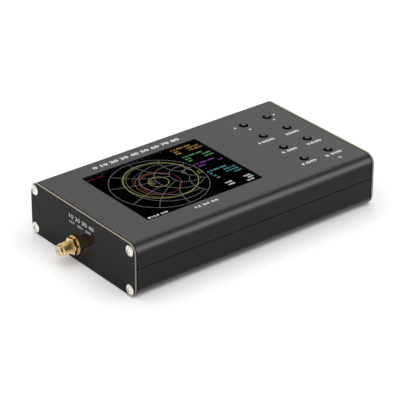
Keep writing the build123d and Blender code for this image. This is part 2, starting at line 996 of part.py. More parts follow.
def make_battery_tape():
    return centred_block(
        battery_x,
        battery_y,
        battery_length - 2 * battery_tape_margin,
        battery_width - 2 * battery_tape_margin,
        (main_board_top, battery_bottom),
    )


plug_back_y = battery_y - lead_pitch / 2 - lead_bend_radius - lead_tail
socket_mouth_y = plug_back_y - battery_plug_exposed
lead_z = main_board_top + battery_socket_height / 2


def make_battery_socket():
    """A side-entry socket on the main board, with its mouth towards +Y."""
    half = battery_socket_width / 2
    body = block(
        (plug_x - half, plug_x + half),
        (socket_mouth_y - battery_socket_length, socket_mouth_y),
        (main_board_top, main_board_top + battery_socket_height),
    )
    half_mouth = half - battery_socket_wall
    half_height = battery_socket_height / 2 - battery_socket_wall
    depth = battery_plug_depth + battery_plug_clearance
    mouth = block(
        (plug_x - half_mouth, plug_x + half_mouth),
        (socket_mouth_y - depth, socket_mouth_y + depth),
        (lead_z - half_height, lead_z + half_height),
    )
    return body - mouth


def make_battery_plug():
    inset = battery_socket_wall + battery_plug_clearance
    half_plug = battery_socket_width / 2 - inset
    half_height = battery_socket_height / 2 - inset
    return block(
        (plug_x - half_plug, plug_x + half_plug),
        (socket_mouth_y - battery_plug_depth, plug_back_y),
        (lead_z - half_height, lead_z + half_height),
    )


def make_battery_lead(side):
    """One insulated lead from the end of the cell, round one bend, to the plug."""
    y = battery_y + side * lead_pitch / 2
    x = plug_x + side * lead_pitch / 2
    corner = (x, y, lead_z)
    bend = lead_bend_radius + (side + 1) / 2 * lead_pitch
    path = FilletPolyline(
        (battery_end, y, lead_z), corner, (x, plug_back_y, lead_z), radius=bend
    )
    profile = Plane(origin=path @ 0, z_dir=path % 0) * Circle(lead_radius)
    return sweep(profile, path=path)


# ----------------------------------------------------------------- power parts
def make_inductors():
    first_y = inductor_edge_gap + inductor_side / 2 - board_half_width
    x = board_half_length - inductor_end_gap - inductor_side / 2
    outline = RectangleRounded(inductor_side, inductor_side, inductor_corner_radius)
    return [
        Pos(x, first_y + step * inductor_pitch, main_board_top)
        * extrude(outline, inductor_height)
        for step in range(inductor_count)
    ]


def make_capacitors():
    y = board_half_width - board_rib_reach - capacitor_row_inset
    z = (main_board_top, main_board_top + capacitor_height)
    return [
        centred_block(
            battery_front + capacitor_offset + step * capacitor_pitch,
            y,
            capacitor_length,
            capacitor_width,
            z,
        )
        for step in range(capacitor_count)
    ]


# ------------------------------------------------------------------------- USB
def usb_slab(x, shrink):
    """The receptacle's rounded block between two X places, shrunk all round."""
    outline = RectangleRounded(
        usb_width - 2 * shrink,
        usb_height - 2 * shrink,
        usb_corner_radius - shrink,
    )
    placed = Plane.YZ * Pos(usb_y, usb_z) * outline
    return Pos(x[0], 0, 0) * extrude(placed, x[1] - x[0])


def make_usb_shell():
    outer = usb_slab((usb_mouth - usb_depth, usb_mouth), 0)
    return outer - usb_slab(
        (usb_mouth - usb_depth - cut_past, usb_mouth + cut_past), usb_wall
    )


def make_usb_tongue():
    """The receptacle's insulator: a back wall and the contact tongue."""
    back = usb_mouth - usb_depth
    front = usb_mouth - usb_tongue_setback
    wall = usb_slab((back, back + usb_back_thickness), usb_wall)
    half = usb_tongue_width / 2
    thick = usb_tongue_thickness / 2
    tongue = block(
        (back, front), (usb_y - half, usb_y + half), (usb_z - thick, usb_z + thick)
    )
    return wall + tongue


# ---------------------------------------------------------------- charge lamps
lamp_z = main_board_top + lamp_height
lamp_tip = half_length + lamp_proud
lamp_back = lamp_tip - lamp_length


def make_lamp(y):
    barrel = rod_x((lamp_back, lamp_tip - lamp_radius), y, lamp_z, lamp_radius)
    return barrel + Pos(lamp_tip - lamp_radius, y, lamp_z) * Sphere(lamp_radius)


def make_lamp_holder(y):
    front = shell_end - board_end_gap
    x = (front - lamp_holder_length, front)
    half = lamp_holder_side / 2
    holder = block(x, (y - half, y + half), (main_board_top, lamp_z + half))
    bore = lamp_radius + lamp_holder_clearance
    return holder - rod_x(
        (lamp_back - lamp_holder_clearance, front + cut_past), y, lamp_z, bore
    )


# ------------------------------------------------------------------ all pieces
parts["upper_shell"] = make_upper_shell()
parts["lower_shell"] = make_lower_shell()
parts["front_end_plate"] = make_front_plate()
parts["rear_end_plate"] = make_rear_plate()
parts["front_plate_screws"] = make_plate_screws(-half_length)
parts["rear_plate_screws"] = make_plate_screws(half_length)
parts["test_port_body"] = make_port_body()
parts["test_port_insulator"] = make_port_insulator()
parts["test_port_contact"] = make_port_contact()
parts["test_port_washer"] = make_port_washer()
parts["test_port_nut"] = make_port_nut()
parts["display_gasket"] = make_gasket()
parts["display_window"] = make_window()
parts["display_lcd_glass"] = make_lcd_glass()
parts["display_light_guide"] = make_light_guide()
parts["display_backlight_frame"] = make_backlight_frame()
parts["display_tape"] = make_display_tape()
parts["display_flex"] = make_flex()
parts["display_connector"] = make_display_connector()
parts["control_board"] = make_control_board()
parts["main_board"] = make_main_board()
parts["switch_bases"] = [make_switch_base(x, y) for x, y in button_places]
parts["switch_covers"] = [make_switch_cover(x, y) for x, y in button_places]
parts["switch_terminals"] = [
    terminal for x, y in button_places for terminal in make_switch_terminals(x, y)
]
for number, (x, y) in enumerate(button_places, start=1):
    parts[f"button_{number}_stem"] = make_stem(x, y)
    parts[f"button_{number}_dome"] = make_dome(x, y)
parts["processor"] = make_processor()
parts["link_header"] = make_link_header()
parts["link_socket"] = make_link_socket()
parts["radio_shield_fence"] = make_shield_fence()
parts["radio_shield_lid"] = make_shield_lid()
parts["radio_chips"] = make_radio_chips()
parts["reference_oscillator"] = make_oscillator()
parts["battery_cell"] = make_battery()
parts["battery_tape"] = make_battery_tape()
parts["battery_socket"] = make_battery_socket()
parts["battery_plug"] = make_battery_plug()
parts["battery_lead_red"] = make_battery_lead(1)
parts["battery_lead_black"] = make_battery_lead(-1)
parts["power_inductors"] = make_inductors()
parts["board_capacitors"] = make_capacitors()
parts["usb_shell"] = make_usb_shell()
parts["usb_tongue"] = make_usb_tongue()
parts["charge_lamps"] = [make_lamp(y) for y in lamp_y]
parts["lamp_holders"] = [make_lamp_holder(y) for y in lamp_y]

os.makedirs("parts", exist_ok=True)
for name, shape in parts.items():
    solids = shape if isinstance(shape, list) else shape.solids()
    export_step(Compound(children=list(solids)), f"parts/{name}.step")
print(len(parts), "parts written")
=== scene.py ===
# %% [markdown]
# # A handheld antenna analyzer
#
# The real instrument is a flat aluminium box: two extruded halves, a fibreglass plate
# screwed on at each end, a gold test port in the front plate, a recessed colour display and
# eight small push buttons.  Its working parts are already modelled at their true size, so
# this lesson only dresses them.  It adds the finishes, the fine shapes that a solid model
# leaves plain, the picture on the display, the print on the case, and the light.

# %% Load the frame
import json
from cmath import phase
from math import cos, pi, radians, sin

import bmesh
import bpy
from mathutils import Matrix, Vector

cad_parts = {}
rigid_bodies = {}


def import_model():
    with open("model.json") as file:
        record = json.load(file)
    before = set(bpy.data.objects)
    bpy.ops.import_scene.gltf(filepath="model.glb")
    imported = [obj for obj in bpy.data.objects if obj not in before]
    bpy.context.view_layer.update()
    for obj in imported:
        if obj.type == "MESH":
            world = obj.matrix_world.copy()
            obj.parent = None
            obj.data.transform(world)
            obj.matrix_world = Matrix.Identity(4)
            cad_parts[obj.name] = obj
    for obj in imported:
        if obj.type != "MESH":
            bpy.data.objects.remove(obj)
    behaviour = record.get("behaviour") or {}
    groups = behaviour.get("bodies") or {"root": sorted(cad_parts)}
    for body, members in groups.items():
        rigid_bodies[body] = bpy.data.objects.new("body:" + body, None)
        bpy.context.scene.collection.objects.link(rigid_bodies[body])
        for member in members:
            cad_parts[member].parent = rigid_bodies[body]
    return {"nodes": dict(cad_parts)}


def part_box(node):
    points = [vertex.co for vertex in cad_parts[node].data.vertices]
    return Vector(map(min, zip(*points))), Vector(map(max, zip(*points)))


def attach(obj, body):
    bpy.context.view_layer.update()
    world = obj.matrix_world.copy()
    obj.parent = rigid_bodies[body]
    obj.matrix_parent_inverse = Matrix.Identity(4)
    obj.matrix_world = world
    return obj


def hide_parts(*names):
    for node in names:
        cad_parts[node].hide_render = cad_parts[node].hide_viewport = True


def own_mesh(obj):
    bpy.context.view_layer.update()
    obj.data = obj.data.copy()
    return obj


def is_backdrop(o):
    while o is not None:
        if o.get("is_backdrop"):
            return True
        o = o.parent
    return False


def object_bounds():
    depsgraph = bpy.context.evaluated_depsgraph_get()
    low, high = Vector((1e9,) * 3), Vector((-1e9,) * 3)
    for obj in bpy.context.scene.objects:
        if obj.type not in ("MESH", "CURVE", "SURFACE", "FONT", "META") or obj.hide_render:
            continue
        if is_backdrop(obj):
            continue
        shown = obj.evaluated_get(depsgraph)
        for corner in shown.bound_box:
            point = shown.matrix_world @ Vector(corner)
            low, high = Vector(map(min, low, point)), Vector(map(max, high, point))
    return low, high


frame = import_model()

cad_low, cad_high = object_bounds()
nodes = frame["nodes"]

# %% [markdown]
# ## Units and places
#
# Blender works in metres here, and the parts are a few millimetres across, so lengths are
# written as a number times `mm`.  Every place is read from the frame: when the model
# changes, the dressing follows it.

# %% Places read from the frame
mm = 0.001

plate_low, plate_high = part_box("front_end_plate")
case_low, case_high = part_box("upper_shell")
window_low, window_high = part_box("display_window")
lcd_low, lcd_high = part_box("display_lcd_glass")
port_low, port_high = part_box("test_port_body")

front_face = plate_low.x
rear_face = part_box("rear_end_plate")[1].x
top_face = case_high.z
buttons = range(1, 9)
port_axis = Vector((0.0, (port_low.y + port_high.y) / 2, (port_low.z + port_high.z) / 2))
print("front face", round(front_face / mm, 2), "top face", round(top_face / mm, 2), "mm")

# %% Scene settings
scene = bpy.context.scene
scene.view_settings.view_transform = "Standard"
print("view transform", scene.view_settings.view_transform)

# %% [markdown]
# ## Building shader trees
#
# One small function adds a node, sets its values and links its sockets, and a few others
# build on it, so that a finish reads like a recipe.

# %% Node helpers
def add(tree, kind, inputs=None, group=None, **settings):
    """Adds a node; each input is a value, or a socket to link from."""
    node = tree.nodes.new(kind)
    if group:
        node.node_tree = group
    for name, value in settings.items():
        setattr(node, name, value)
    for key, value in (inputs or {}).items():
        if isinstance(value, bpy.types.NodeSocket):
            tree.links.new(value, node.inputs[key])
        else:
            node.inputs[key].default_value = value
    return node


def effect(tree, group, inputs):
    """Places a shared group and returns its outputs."""
    return add(tree, "ShaderNodeGroup", inputs, group=group).outputs


def sums(tree, operation, first, second=0.0):
    """The result of a Math node."""
    return add(tree, "ShaderNodeMath", {0: first, 1: second}, operation=operation).outputs[0]


def times(tree, first, second):
    """The product of two values."""
    return sums(tree, "MULTIPLY", first, second)


def axes(tree, vector):
    """A vector's parts, named X, Y and Z."""
    return add(tree, "ShaderNodeSeparateXYZ", {0: vector}).outputs


def spread(tree, value, low, high, start=0.0, end=1.0):
    """Maps a value that runs from start to end onto low to high, and clamps it."""
    inputs = {"Value": value, "From Min": start, "From Max": end, "To Min": low, "To Max": high}
    return add(tree, "ShaderNodeMapRange", inputs).outputs[0]


def tint(tree, factor, first, second):
    """Mixes two colours; a plain colour is a tuple of three numbers."""
    colours = [c if isinstance(c, bpy.types.NodeSocket) else (*c, 1.0) for c in (first, second)]
    inputs = {0: factor, 6: colours[0], 7: colours[1]}
    return add(tree, "ShaderNodeMix", inputs, data_type="RGBA").outputs[2]


def vector_math(tree, operation, inputs):
    """The result of a Vector Math node."""
    return add(tree, "ShaderNodeVectorMath", inputs, operation=operation).outputs[0]


def place_in_mm(tree, stretch=(1.0, 1.0, 1.0)):
    """The point's place in the object's own millimetres, times a stretch on each axis."""
    place = add(tree, "ShaderNodeTexCoord").outputs["Object"]
    if not isinstance(stretch, bpy.types.NodeSocket):
        stretch = tuple(s / mm for s in stretch)
    return vector_math(tree, "MULTIPLY", {0: place, 1: stretch})


def noise_mask(tree, vector, scale, detail=2.0):
    """Soft noise from 0 to 1."""
    inputs = {"Vector": vector, "Scale": scale, "Detail": detail}
    return add(tree, "ShaderNodeTexNoise", inputs).outputs["Fac"]


def swing(tree, mask, size):
    """Turns a mask into a value of a given size that swings about zero."""
    return times(tree, sums(tree, "SUBTRACT", mask, 0.5), size)


print("node helpers ready")

# %% [markdown]
# ## Shared effects
#
# Grain, clouds of tone, drawn streaks and dust turn up on almost every part of an
# instrument.  Each is a node group, built once.  A group gives out only masks and heights
# in millimetres, and the surface shader stays in the material, where a bake can read it.

# %% A new group with named sockets
def new_group(name, inputs, outputs):
    """Returns the group, its input sockets and its output sockets."""
    group = bpy.data.node_groups.new(name, "ShaderNodeTree")
    for label, value in inputs.items():
        kind = "NodeSocketVector" if isinstance(value, tuple) else "NodeSocketFloat"
        socket = group.interface.new_socket(label, in_out="INPUT", socket_type=kind)
        socket.default_value = value
    for label in outputs:
        group.interface.new_socket(label, in_out="OUTPUT", socket_type="NodeSocketFloat")
    enter = group.nodes.new("NodeGroupInput").outputs
    leave = group.nodes.new("NodeGroupOutput").inputs
    return group, enter, leave


def give(group, leave, **values):
    """Links values to a group's outputs by name."""
    for label, value in values.items():
        group.links.new(value, leave[label])
    print("group", group.name, "gives", ", ".join(values))


print("group helpers ready")

# %% Grain: the even bite of blasting, moulding or casting
grain, enter, leave = new_group("grain", {"Size mm": 0.2, "Height mm": 0.003}, ("Mask", "Height"))
bite = noise_mask(grain, place_in_mm(grain), sums(grain, "DIVIDE", 1.0, enter["Size mm"]))
give(grain, leave, Mask=bite, Height=swing(grain, bite, enter["Height mm"]))

# %% Clouds: slow drifts of tone, as handling and plating leave them
clouds, enter, leave = new_group("clouds", {"Size mm": 12.0}, ("Mask",))
drift = noise_mask(clouds, place_in_mm(clouds), sums(clouds, "DIVIDE", 1.0, enter["Size mm"]), 4.0)
give(clouds, leave, Mask=spread(clouds, drift, 0.0, 1.0, start=0.25, end=0.75))

# %% Streaks: noise drawn out along an axis, as an extrusion die or a lathe leaves it
streaks, enter, leave = new_group(
    "streaks", {"Stretch": (0.02, 1.0, 1.0), "Height mm": 0.002}, ("Mask", "Height")
)
drawn = noise_mask(streaks, place_in_mm(streaks, enter["Stretch"]), 1 / mm, 3.0)
lines = spread(streaks, drawn, 0.0, 1.0, start=0.3, end=0.7)
give(streaks, leave, Mask=lines, Height=swing(streaks, drawn, enter["Height mm"]))

# %% Dust: sparse pale specks
dust, enter, leave = new_group("dust", {"Spacing mm": 1.5, "Amount": 0.1}, ("Mask",))
inputs = {"Vector": place_in_mm(dust), "Scale": sums(dust, "DIVIDE", 1.0, enter["Spacing mm"])}
specks = add(dust, "ShaderNodeTexVoronoi", inputs)
near = spread(dust, specks.outputs["Distance"], 1.0, 0.0, start=0.02, end=0.12)
chosen = sums(dust, "LESS_THAN", specks.outputs["Color"], enter["Amount"])
give(dust, leave, Mask=times(dust, near, chosen))

# %% Rings: turning marks round an axis along X
rings, enter, leave = new_group("turned_rings", {"Axis Y": 0.0, "Axis Z": 0.0}, ("Mask",))
place = add(rings, "ShaderNodeTexCoord").outputs["Object"]
parts = axes(rings, place)
across = sums(rings, "SUBTRACT", parts["Y"], enter["Axis Y"])
upward = sums(rings, "SUBTRACT", parts["Z"], enter["Axis Z"])
square = sums(rings, "ADD", times(rings, across, across), times(rings, upward, upward))
radius = sums(rings, "SQRT", square)
lathe_place = add(rings, "ShaderNodeCombineXYZ", {"X": parts["X"], "Y": radius}).outputs[0]
marks = noise_mask(rings, lathe_place, 9.0 / mm, 3.0)
give(rings, leave, Mask=spread(rings, marks, 0.0, 1.0, start=0.3, end=0.7))

# %% Weave: crossing bundles of glass fibre
weave, enter, leave = new_group("glass_weave", {"Pitch mm": 0.5}, ("Mask",))
parts = axes(weave, place_in_mm(weave))
turn = sums(weave, "DIVIDE", 2 * pi, enter["Pitch mm"])
warp = sums(weave, "SINE", times(weave, parts["Y"], turn))
weft = sums(weave, "SINE", times(weave, sums(weave, "ADD", parts["X"], parts["Z"]), turn))
crossing = spread(weave, times(weave, warp, weft), 0.0, 1.0, start=-1.0, end=1.0)
give(weave, leave, Mask=crossing)

# %% Traces: copper runs that turn from one cell to the next
traces, enter, leave = new_group(
    "board_traces", {"Pitch mm": 0.8, "Cell mm": 6.0}, ("Mask", "Pads")
)
place = place_in_mm(traces)
cells = vector_math(traces, "MULTIPLY", {0: place, 1: (1.0, 1.0, 0.0)})
shrink = sums(traces, "DIVIDE", 1.0, enter["Cell mm"])
cells = vector_math(traces, "SCALE", {0: cells, 3: shrink})
cells = vector_math(traces, "FLOOR", {0: cells})
chance = add(traces, "ShaderNodeTexWhiteNoise", {"Vector": cells}).outputs["Value"]
parts = axes(traces, place)
along_x = sums(traces, "FRACT", sums(traces, "DIVIDE", parts["Y"], enter["Pitch mm"]))
along_y = sums(traces, "FRACT", sums(traces, "DIVIDE", parts["X"], enter["Pitch mm"]))


def under(value, limit):
    """A mask of where a value in this group is under a limit."""
    return sums(traces, "LESS_THAN", value, limit)


copper_width = 0.35          # share of the pitch
pad_width = 0.5
x_cells = 0.35               # a cell's chance is under this where its runs lie along X,
y_cells = 0.6                # over this where they lie along Y,
pad_cells = 0.9              # and over this where it has pads
lines_x = times(traces, under(along_x, copper_width), under(chance, x_cells))
lines_y = times(
    traces, under(along_y, copper_width), sums(traces, "GREATER_THAN", chance, y_cells)
)
pads = times(traces, under(along_x, pad_width), under(along_y, pad_width))
pads = times(traces, pads, sums(traces, "GREATER_THAN", chance, pad_cells))
give(traces, leave, Mask=sums(traces, "MAXIMUM", lines_x, lines_y), Pads=pads)

# %% [markdown]
# ## One recipe for most finishes
#
# A finish is two close colours, a range of roughness and a little relief.  The recipe below
# drifts between the colours with the clouds, breaks the gloss with the grain, and sets the
# values that are the same all over straight on the shader's own sockets.

# %% The recipe
speck_cover = 0.35
speck_colour = (0.5, 0.5, 0.5)
speck_roughness = 0.9


def new_material(name, uniform):
    """Returns a material, its tree and its shader, with uniform values on its sockets."""
    material = bpy.data.materials.new(name)
    material.use_nodes = True
    shader = material.node_tree.nodes["Principled BSDF"]
    for label, value in uniform.items():
        shader.inputs[label].default_value = value
    return material, material.node_tree, shader


def finish(
    name, colour, worn, roughness, metallic=0.0, specular=0.5, cloud=10.0, grain_size=0.2,
    grain_height=0.002, stretch=None, streak_height=0.002, dusty=0.0,
):
    """Returns a material, its tree, its shader and a mask that drifts over the surface."""
    uniform = {"Metallic": metallic, "Specular IOR Level": specular}
    material, tree, shader = new_material(name, uniform)
    drift = effect(tree, clouds, {"Size mm": cloud})["Mask"]
    bite = effect(tree, grain, {"Size mm": grain_size, "Height mm": grain_height})
    relief = bite["Height"]
    mottle = times(tree, sums(tree, "ADD", drift, bite["Mask"]), 0.5)
    if stretch:
        lines = effect(tree, streaks, {"Stretch": stretch, "Height mm": streak_height})
        relief = sums(tree, "ADD", relief, lines["Height"])
        mottle = times(tree, sums(tree, "ADD", mottle, lines["Mask"]), 0.5)
    shade = tint(tree, mottle, colour, worn)
    gloss = spread(tree, mottle, roughness[0], roughness[1])
    if dusty:
        specks = effect(tree, dust, {"Amount": dusty})["Mask"]
        shade = tint(tree, times(tree, specks, speck_cover), shade, speck_colour)
        gloss = spread(tree, specks, gloss, speck_roughness)
    bump = add(tree, "ShaderNodeBump", {"Height": relief, "Distance": mm})
    tree.links.new(shade, shader.inputs["Base Color"])
    tree.links.new(gloss, shader.inputs["Roughness"])
    tree.links.new(bump.outputs[0], shader.inputs["Normal"])
    return material, tree, shader, mottle


def repaint(tree, shader, mask, colour):
    """Lays a colour over a finish where a mask is white."""
    below = shader.inputs["Base Color"].links[0].from_socket
    tree.links.new(tint(tree, mask, below, colour), shader.inputs["Base Color"])


print("finish recipe ready")

# %% [markdown]
# ## The case: black anodised aluminium
#
# The halves are extruded, blasted and anodised.  Two things show it: an even fine grain
# and faint streaks along the extrusion.  The long corners get painted sheen: a lighter,
# metallic band that stands in for the highlight the rounded corners catch.  The band is
# found from the point's place.

# %% Case finish
corner_radius = 5.0 * mm
case_black, tree, shader, _ = finish(
    "case_black_anodised", (0.007, 0.007, 0.0075), (0.011, 0.011, 0.0115), (0.20, 0.25),
    specular=0.175, cloud=25.0, grain_size=0.12, grain_height=0.0012,
    stretch=(0.004, 1.3, 1.3), streak_height=0.0006, dusty=0.015,
)
parts = axes(tree, place_in_mm(tree))
middle = top_face / 2
flat_side = (case_high.y - corner_radius) / mm   # where a side's and a face's flat part ends
flat_face = (middle - corner_radius) / mm
beside = sums(tree, "SUBTRACT", sums(tree, "ABSOLUTE", parts["Y"]), flat_side)
above = sums(tree, "ABSOLUTE", sums(tree, "SUBTRACT", parts["Z"], middle / mm))
above = sums(tree, "SUBTRACT", above, flat_face)
# painted sheen: a lighter, metallic band along the four long corners stands in for their highlight
sheen_side_band = spread(tree, beside, 0.0, 1.0, start=2.9, end=4.1)
corner_sheen = times(tree, sheen_side_band, spread(tree, above, 0.0, 1.0, start=0.1, end=1.9))
corner_sheen_colour = (0.090, 0.089, 0.088)
repaint(tree, shader, corner_sheen, corner_sheen_colour)
tree.links.new(corner_sheen, shader.inputs["Metallic"])
print("case finish with rubbed corners")

# %% [markdown]
# ## The end plates: laminate
#
# Each plate is cut from the same fibreglass laminate as a circuit board.  Its faces carry a
# glossy black mask, through which the weave just shows.  Its cut edge is bare and tan, with
# painted shade along both rims.  They are two materials, given out by which way a face
# looks.

# %% Laminate finishes
mask_black, tree, shader, _ = finish(
    "laminate_mask", (0.004, 0.004, 0.0040), (0.007, 0.007, 0.0066), (0.08, 0.13),
    specular=0.09, cloud=18.0, grain_size=0.6, grain_height=0.0004, dusty=0.02,
)
weave_shows = 0.25
bundles = effect(tree, weave, {"Pitch mm": 0.55})["Mask"]
repaint(tree, shader, times(tree, bundles, weave_shows), (0.012, 0.012, 0.012))

ply = 0.2                    # millimetres from one layer of cloth to the next
ply_colour = (0.27, 0.20, 0.13)
# the colour of the painted shade along both rims of the cut edge
rim_shade_colour = (0.04, 0.032, 0.024)
cut_edge, tree, shader, _ = finish(
    "laminate_cut_edge", (0.33, 0.28, 0.21), (0.45, 0.39, 0.30), (0.55, 0.75),
    cloud=3.0, grain_size=0.1, grain_height=0.006,
)
plies = axes(tree, place_in_mm(tree))["X"]
waves = sums(tree, "SINE", times(tree, plies, 2 * pi / ply))
repaint(tree, shader, spread(tree, waves, 0.0, 0.35, start=-1.0, end=1.0), ply_colour)
plate_middle = (abs(plate_low.x) + abs(plate_high.x)) / 2 / mm
off_middle = sums(tree, "SUBTRACT", sums(tree, "ABSOLUTE", plies), plate_middle)
off_middle = sums(tree, "ABSOLUTE", off_middle)
# painted shade: the cut edge is darkened along both of its rims
repaint(tree, shader, spread(tree, off_middle, 0.0, 1.0, start=0.30, end=0.38), rim_shade_colour)
print("laminate: mask and cut edge")

# %% [markdown]
# ## Metals
#
# The test port is gold plated over turned brass, the screws are nickel plated, and the small
# stampings are steel or tinned.  Metal takes its look from what it mirrors, so the recipe
# gives it a fine direction: rings where it was turned and streaks where it was rolled.

# %% Metal finishes
port_gold, tree, shader, _ = finish(
    "port_gold", (0.90, 0.68, 0.34), (0.98, 0.80, 0.48), (0.16, 0.26),
    metallic=1.0, cloud=2.5, grain_size=0.08, grain_height=0.0008,
)
ring_colour = (0.66, 0.42, 0.15)
turned = effect(tree, rings, {"Axis Y": port_axis.y, "Axis Z": port_axis.z})
repaint(tree, shader, times(tree, turned["Mask"], 0.25), ring_colour)

screw_nickel, *_ = finish(
    "screw_nickel", (0.88, 0.85, 0.80), (0.96, 0.93, 0.89), (0.20, 0.32),
    metallic=1.0, cloud=1.2, grain_size=0.06, grain_height=0.0008,
)
spring_steel, *_ = finish(
    "spring_steel", (0.55, 0.55, 0.56), (0.66, 0.66, 0.67), (0.25, 0.4),
    metallic=1.0, cloud=1.5, stretch=(0.05, 4.0, 4.0), streak_height=0.001,
)
tinned_metal, *_ = finish(
    "tinned_metal", (0.60, 0.60, 0.58), (0.74, 0.74, 0.72), (0.3, 0.5),
    metallic=1.0, cloud=4.0, stretch=(3.0, 0.05, 3.0), streak_height=0.0015,
)
print("metals: gold, nickel, spring steel, tinned")

# %% [markdown]
# ## Plastics, rubber and paper
#
# Moulded parts have a soft even grain.  Their colour drifts only a little, and the gloss
# tells them apart: a switch body is duller than a chip package, and foam has no gloss.

# %% Moulded and soft finishes
plain_finishes = {           # fresh and worn colour, roughness, and what else differs
    "port_insulator": ((0.80, 0.69, 0.48), (0.88, 0.78, 0.58), (0.35, 0.5), {}),
    "gasket_foam": (
        (0.012, 0.012, 0.012), (0.03, 0.03, 0.03), (0.85, 0.95),
        dict(grain_size=0.25, grain_height=0.05),
    ),
    "backlight_white": ((0.74, 0.74, 0.72), (0.8, 0.8, 0.78), (0.4, 0.55), {}),
    "adhesive_tape": (
        (0.66, 0.62, 0.48), (0.75, 0.72, 0.6), (0.5, 0.7),
        dict(stretch=(0.2, 2.0, 1.0), streak_height=0.01),
    ),
    "flex_amber": ((0.50, 0.22, 0.03), (0.60, 0.30, 0.07), (0.22, 0.32), dict(cloud=6.0)),
    "connector_cream": ((0.68, 0.62, 0.46), (0.76, 0.71, 0.57), (0.4, 0.55), {}),
    "connector_black": ((0.012, 0.012, 0.013), (0.025, 0.025, 0.026), (0.4, 0.55), {}),
    "switch_black": (
        (0.010, 0.010, 0.010), (0.022, 0.022, 0.022), (0.45, 0.6), dict(grain_height=0.006)
    ),
    "chip_black": (
        (0.018, 0.018, 0.020), (0.032, 0.032, 0.034), (0.5, 0.65),
        dict(grain_size=0.12, grain_height=0.008),
    ),
    "ferrite_dark": (
        (0.035, 0.035, 0.037), (0.07, 0.07, 0.074), (0.6, 0.8),
        dict(grain_size=0.15, grain_height=0.02),
    ),
    "ceramic_tan": ((0.38, 0.25, 0.13), (0.48, 0.35, 0.21), (0.35, 0.5), dict(cloud=1.0)),
    "lead_red": ((0.42, 0.012, 0.010), (0.52, 0.03, 0.025), (0.4, 0.55), dict(cloud=3.0)),
    "lead_black": ((0.010, 0.010, 0.010), (0.02, 0.02, 0.02), (0.4, 0.55), dict(cloud=3.0)),
    "lcd_glass": (
        (0.0003, 0.0003, 0.0004), (0.0006, 0.0006, 0.0008), (0.12, 0.2),
        dict(specular=0.0, grain_size=0.22, grain_height=0.0002),
    ),
}
finishes = {
    "screw_steel": screw_nickel,
    "port_gold": port_gold,
    "spring_steel": spring_steel,
    "tinned_metal": tinned_metal,
    "case_black_anodised": case_black,
    "laminate_black": mask_black,
}
for name, (*basics, others) in plain_finishes.items():
    finishes[name] = finish(name, *basics, **others)[0]
print(len(finishes), "finishes so far")

# %% Push-button stems: moulded, with painted sheen on the top
finishes["button_black"], tree, shader, mottle = finish(
    "button_black", (0.010, 0.010, 0.0102), (0.018, 0.018, 0.0183), (0.3, 0.42),
    specular=0.25, cloud=1.0, grain_size=0.15, grain_height=0.004,
)
# painted sheen: faces that look up are made lighter, in blotches
up = axes(tree, add(tree, "ShaderNodeNewGeometry").outputs["Normal"])["Z"]
top_sheen = times(tree, spread(tree, up, 0.0, 1.0, start=0.7, end=1.0), mottle)
repaint(tree, shader, times(tree, top_sheen, 0.6), (0.03, 0.03, 0.0305))
print("button stems")

# %% Circuit boards: green mask over copper, with bare pads
finishes["board_green"], tree, shader, _ = finish(
    "board_green", (0.006, 0.075, 0.026), (0.010, 0.105, 0.040), (0.25, 0.4),
    cloud=20.0, grain_size=0.4,
)
copper = effect(tree, traces, {})
repaint(tree, shader, times(tree, copper["Mask"], 0.7), (0.03, 0.20, 0.07))
repaint(tree, shader, copper["Pads"], (0.72, 0.58, 0.30))
print("boards with traces and pads")

# %% Battery pouch: creased foil
finishes["cell_foil"], *_ = finish(
    "cell_foil", (0.50, 0.51, 0.52), (0.66, 0.67, 0.68), (0.28, 0.5), metallic=0.9,
    cloud=9.0, grain_size=3.5, grain_height=0.12, stretch=(0.3, 0.5, 0.5), streak_height=0.03,
)
print("battery foil")

# %% [markdown]
# ## Clear parts
#
# The display window, the light guide and the charge lamps are clear.  Each keeps one plain
# transmission, and faint smears vary its gloss and colour.  The window has a coating that
# kills reflections, so its index is set to air's.

# %% Clear finishes
clear_finishes = {           # fresh and worn colour, roughness and index of refraction
    "window_clear": ((0.93, 0.94, 0.95), (0.97, 0.97, 0.98), (0.0, 0.004), 1.0),
    "light_guide": ((0.90, 0.93, 0.95), (0.96, 0.98, 0.98), (0.05, 0.15), 1.49),
    "lamp_clear": ((0.90, 0.92, 0.90), (0.96, 0.97, 0.95), (0.03, 0.1), 1.5),
}
for name, (*basics, index) in clear_finishes.items():
    finishes[name], _, shader, _ = finish(
        name, *basics, cloud=8.0, grain_size=0.5, grain_height=0.0
    )
    shader.inputs["Transmission Weight"].default_value = 1.0
    shader.inputs["IOR"].default_value = index
print("clear finishes: window, light guide, lamp")

# %% [markdown]
# ## Giving each CAD node its finish
#
# Every node arrives with one slot, named after its finish in the record.  The loop swaps in
# the dressed material, and stops if a name has none, so nothing keeps a plain colour.

# %% Dress the nodes
for name, node in nodes.items():
    for slot in node.material_slots:
        slot.material = finishes[slot.material.name.split(".")[0]]
print("dressed", len(nodes), "nodes")

# %% [markdown]
# ## Making pieces
#
# New pieces start as a bmesh, are shaped by its operators and become one object at the
# origin.  The helper shades them smooth, keeps edges sharp past an angle and hands the piece
# to the body that carries it.

# %% Piece helper
smooth_below = radians(32)
flat_below = radians(0.5)
same_place = 0.001 * mm


def new_object(name, bm, materials):
    """Turns a bmesh into an object at the origin."""
    mesh = bpy.data.meshes.new(name)
    bm.to_mesh(mesh)
    bm.free()
    for material in materials:
        mesh.materials.append(material)
    made = bpy.data.objects.new(name, mesh)
    scene.collection.objects.link(made)
    print(name, len(mesh.polygons), "faces")
    return made


def make_piece(name, bm, materials, body="case", turned_out=True):
    """Turns a bmesh into a finished piece that rides on a body."""
    if turned_out:
        bmesh.ops.recalc_face_normals(bm, faces=bm.faces)
    piece = new_object(name, bm, materials)
    piece.data.shade_smooth()
    piece.data.set_sharp_from_angle(angle=smooth_below)
    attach(piece, body)
    return piece


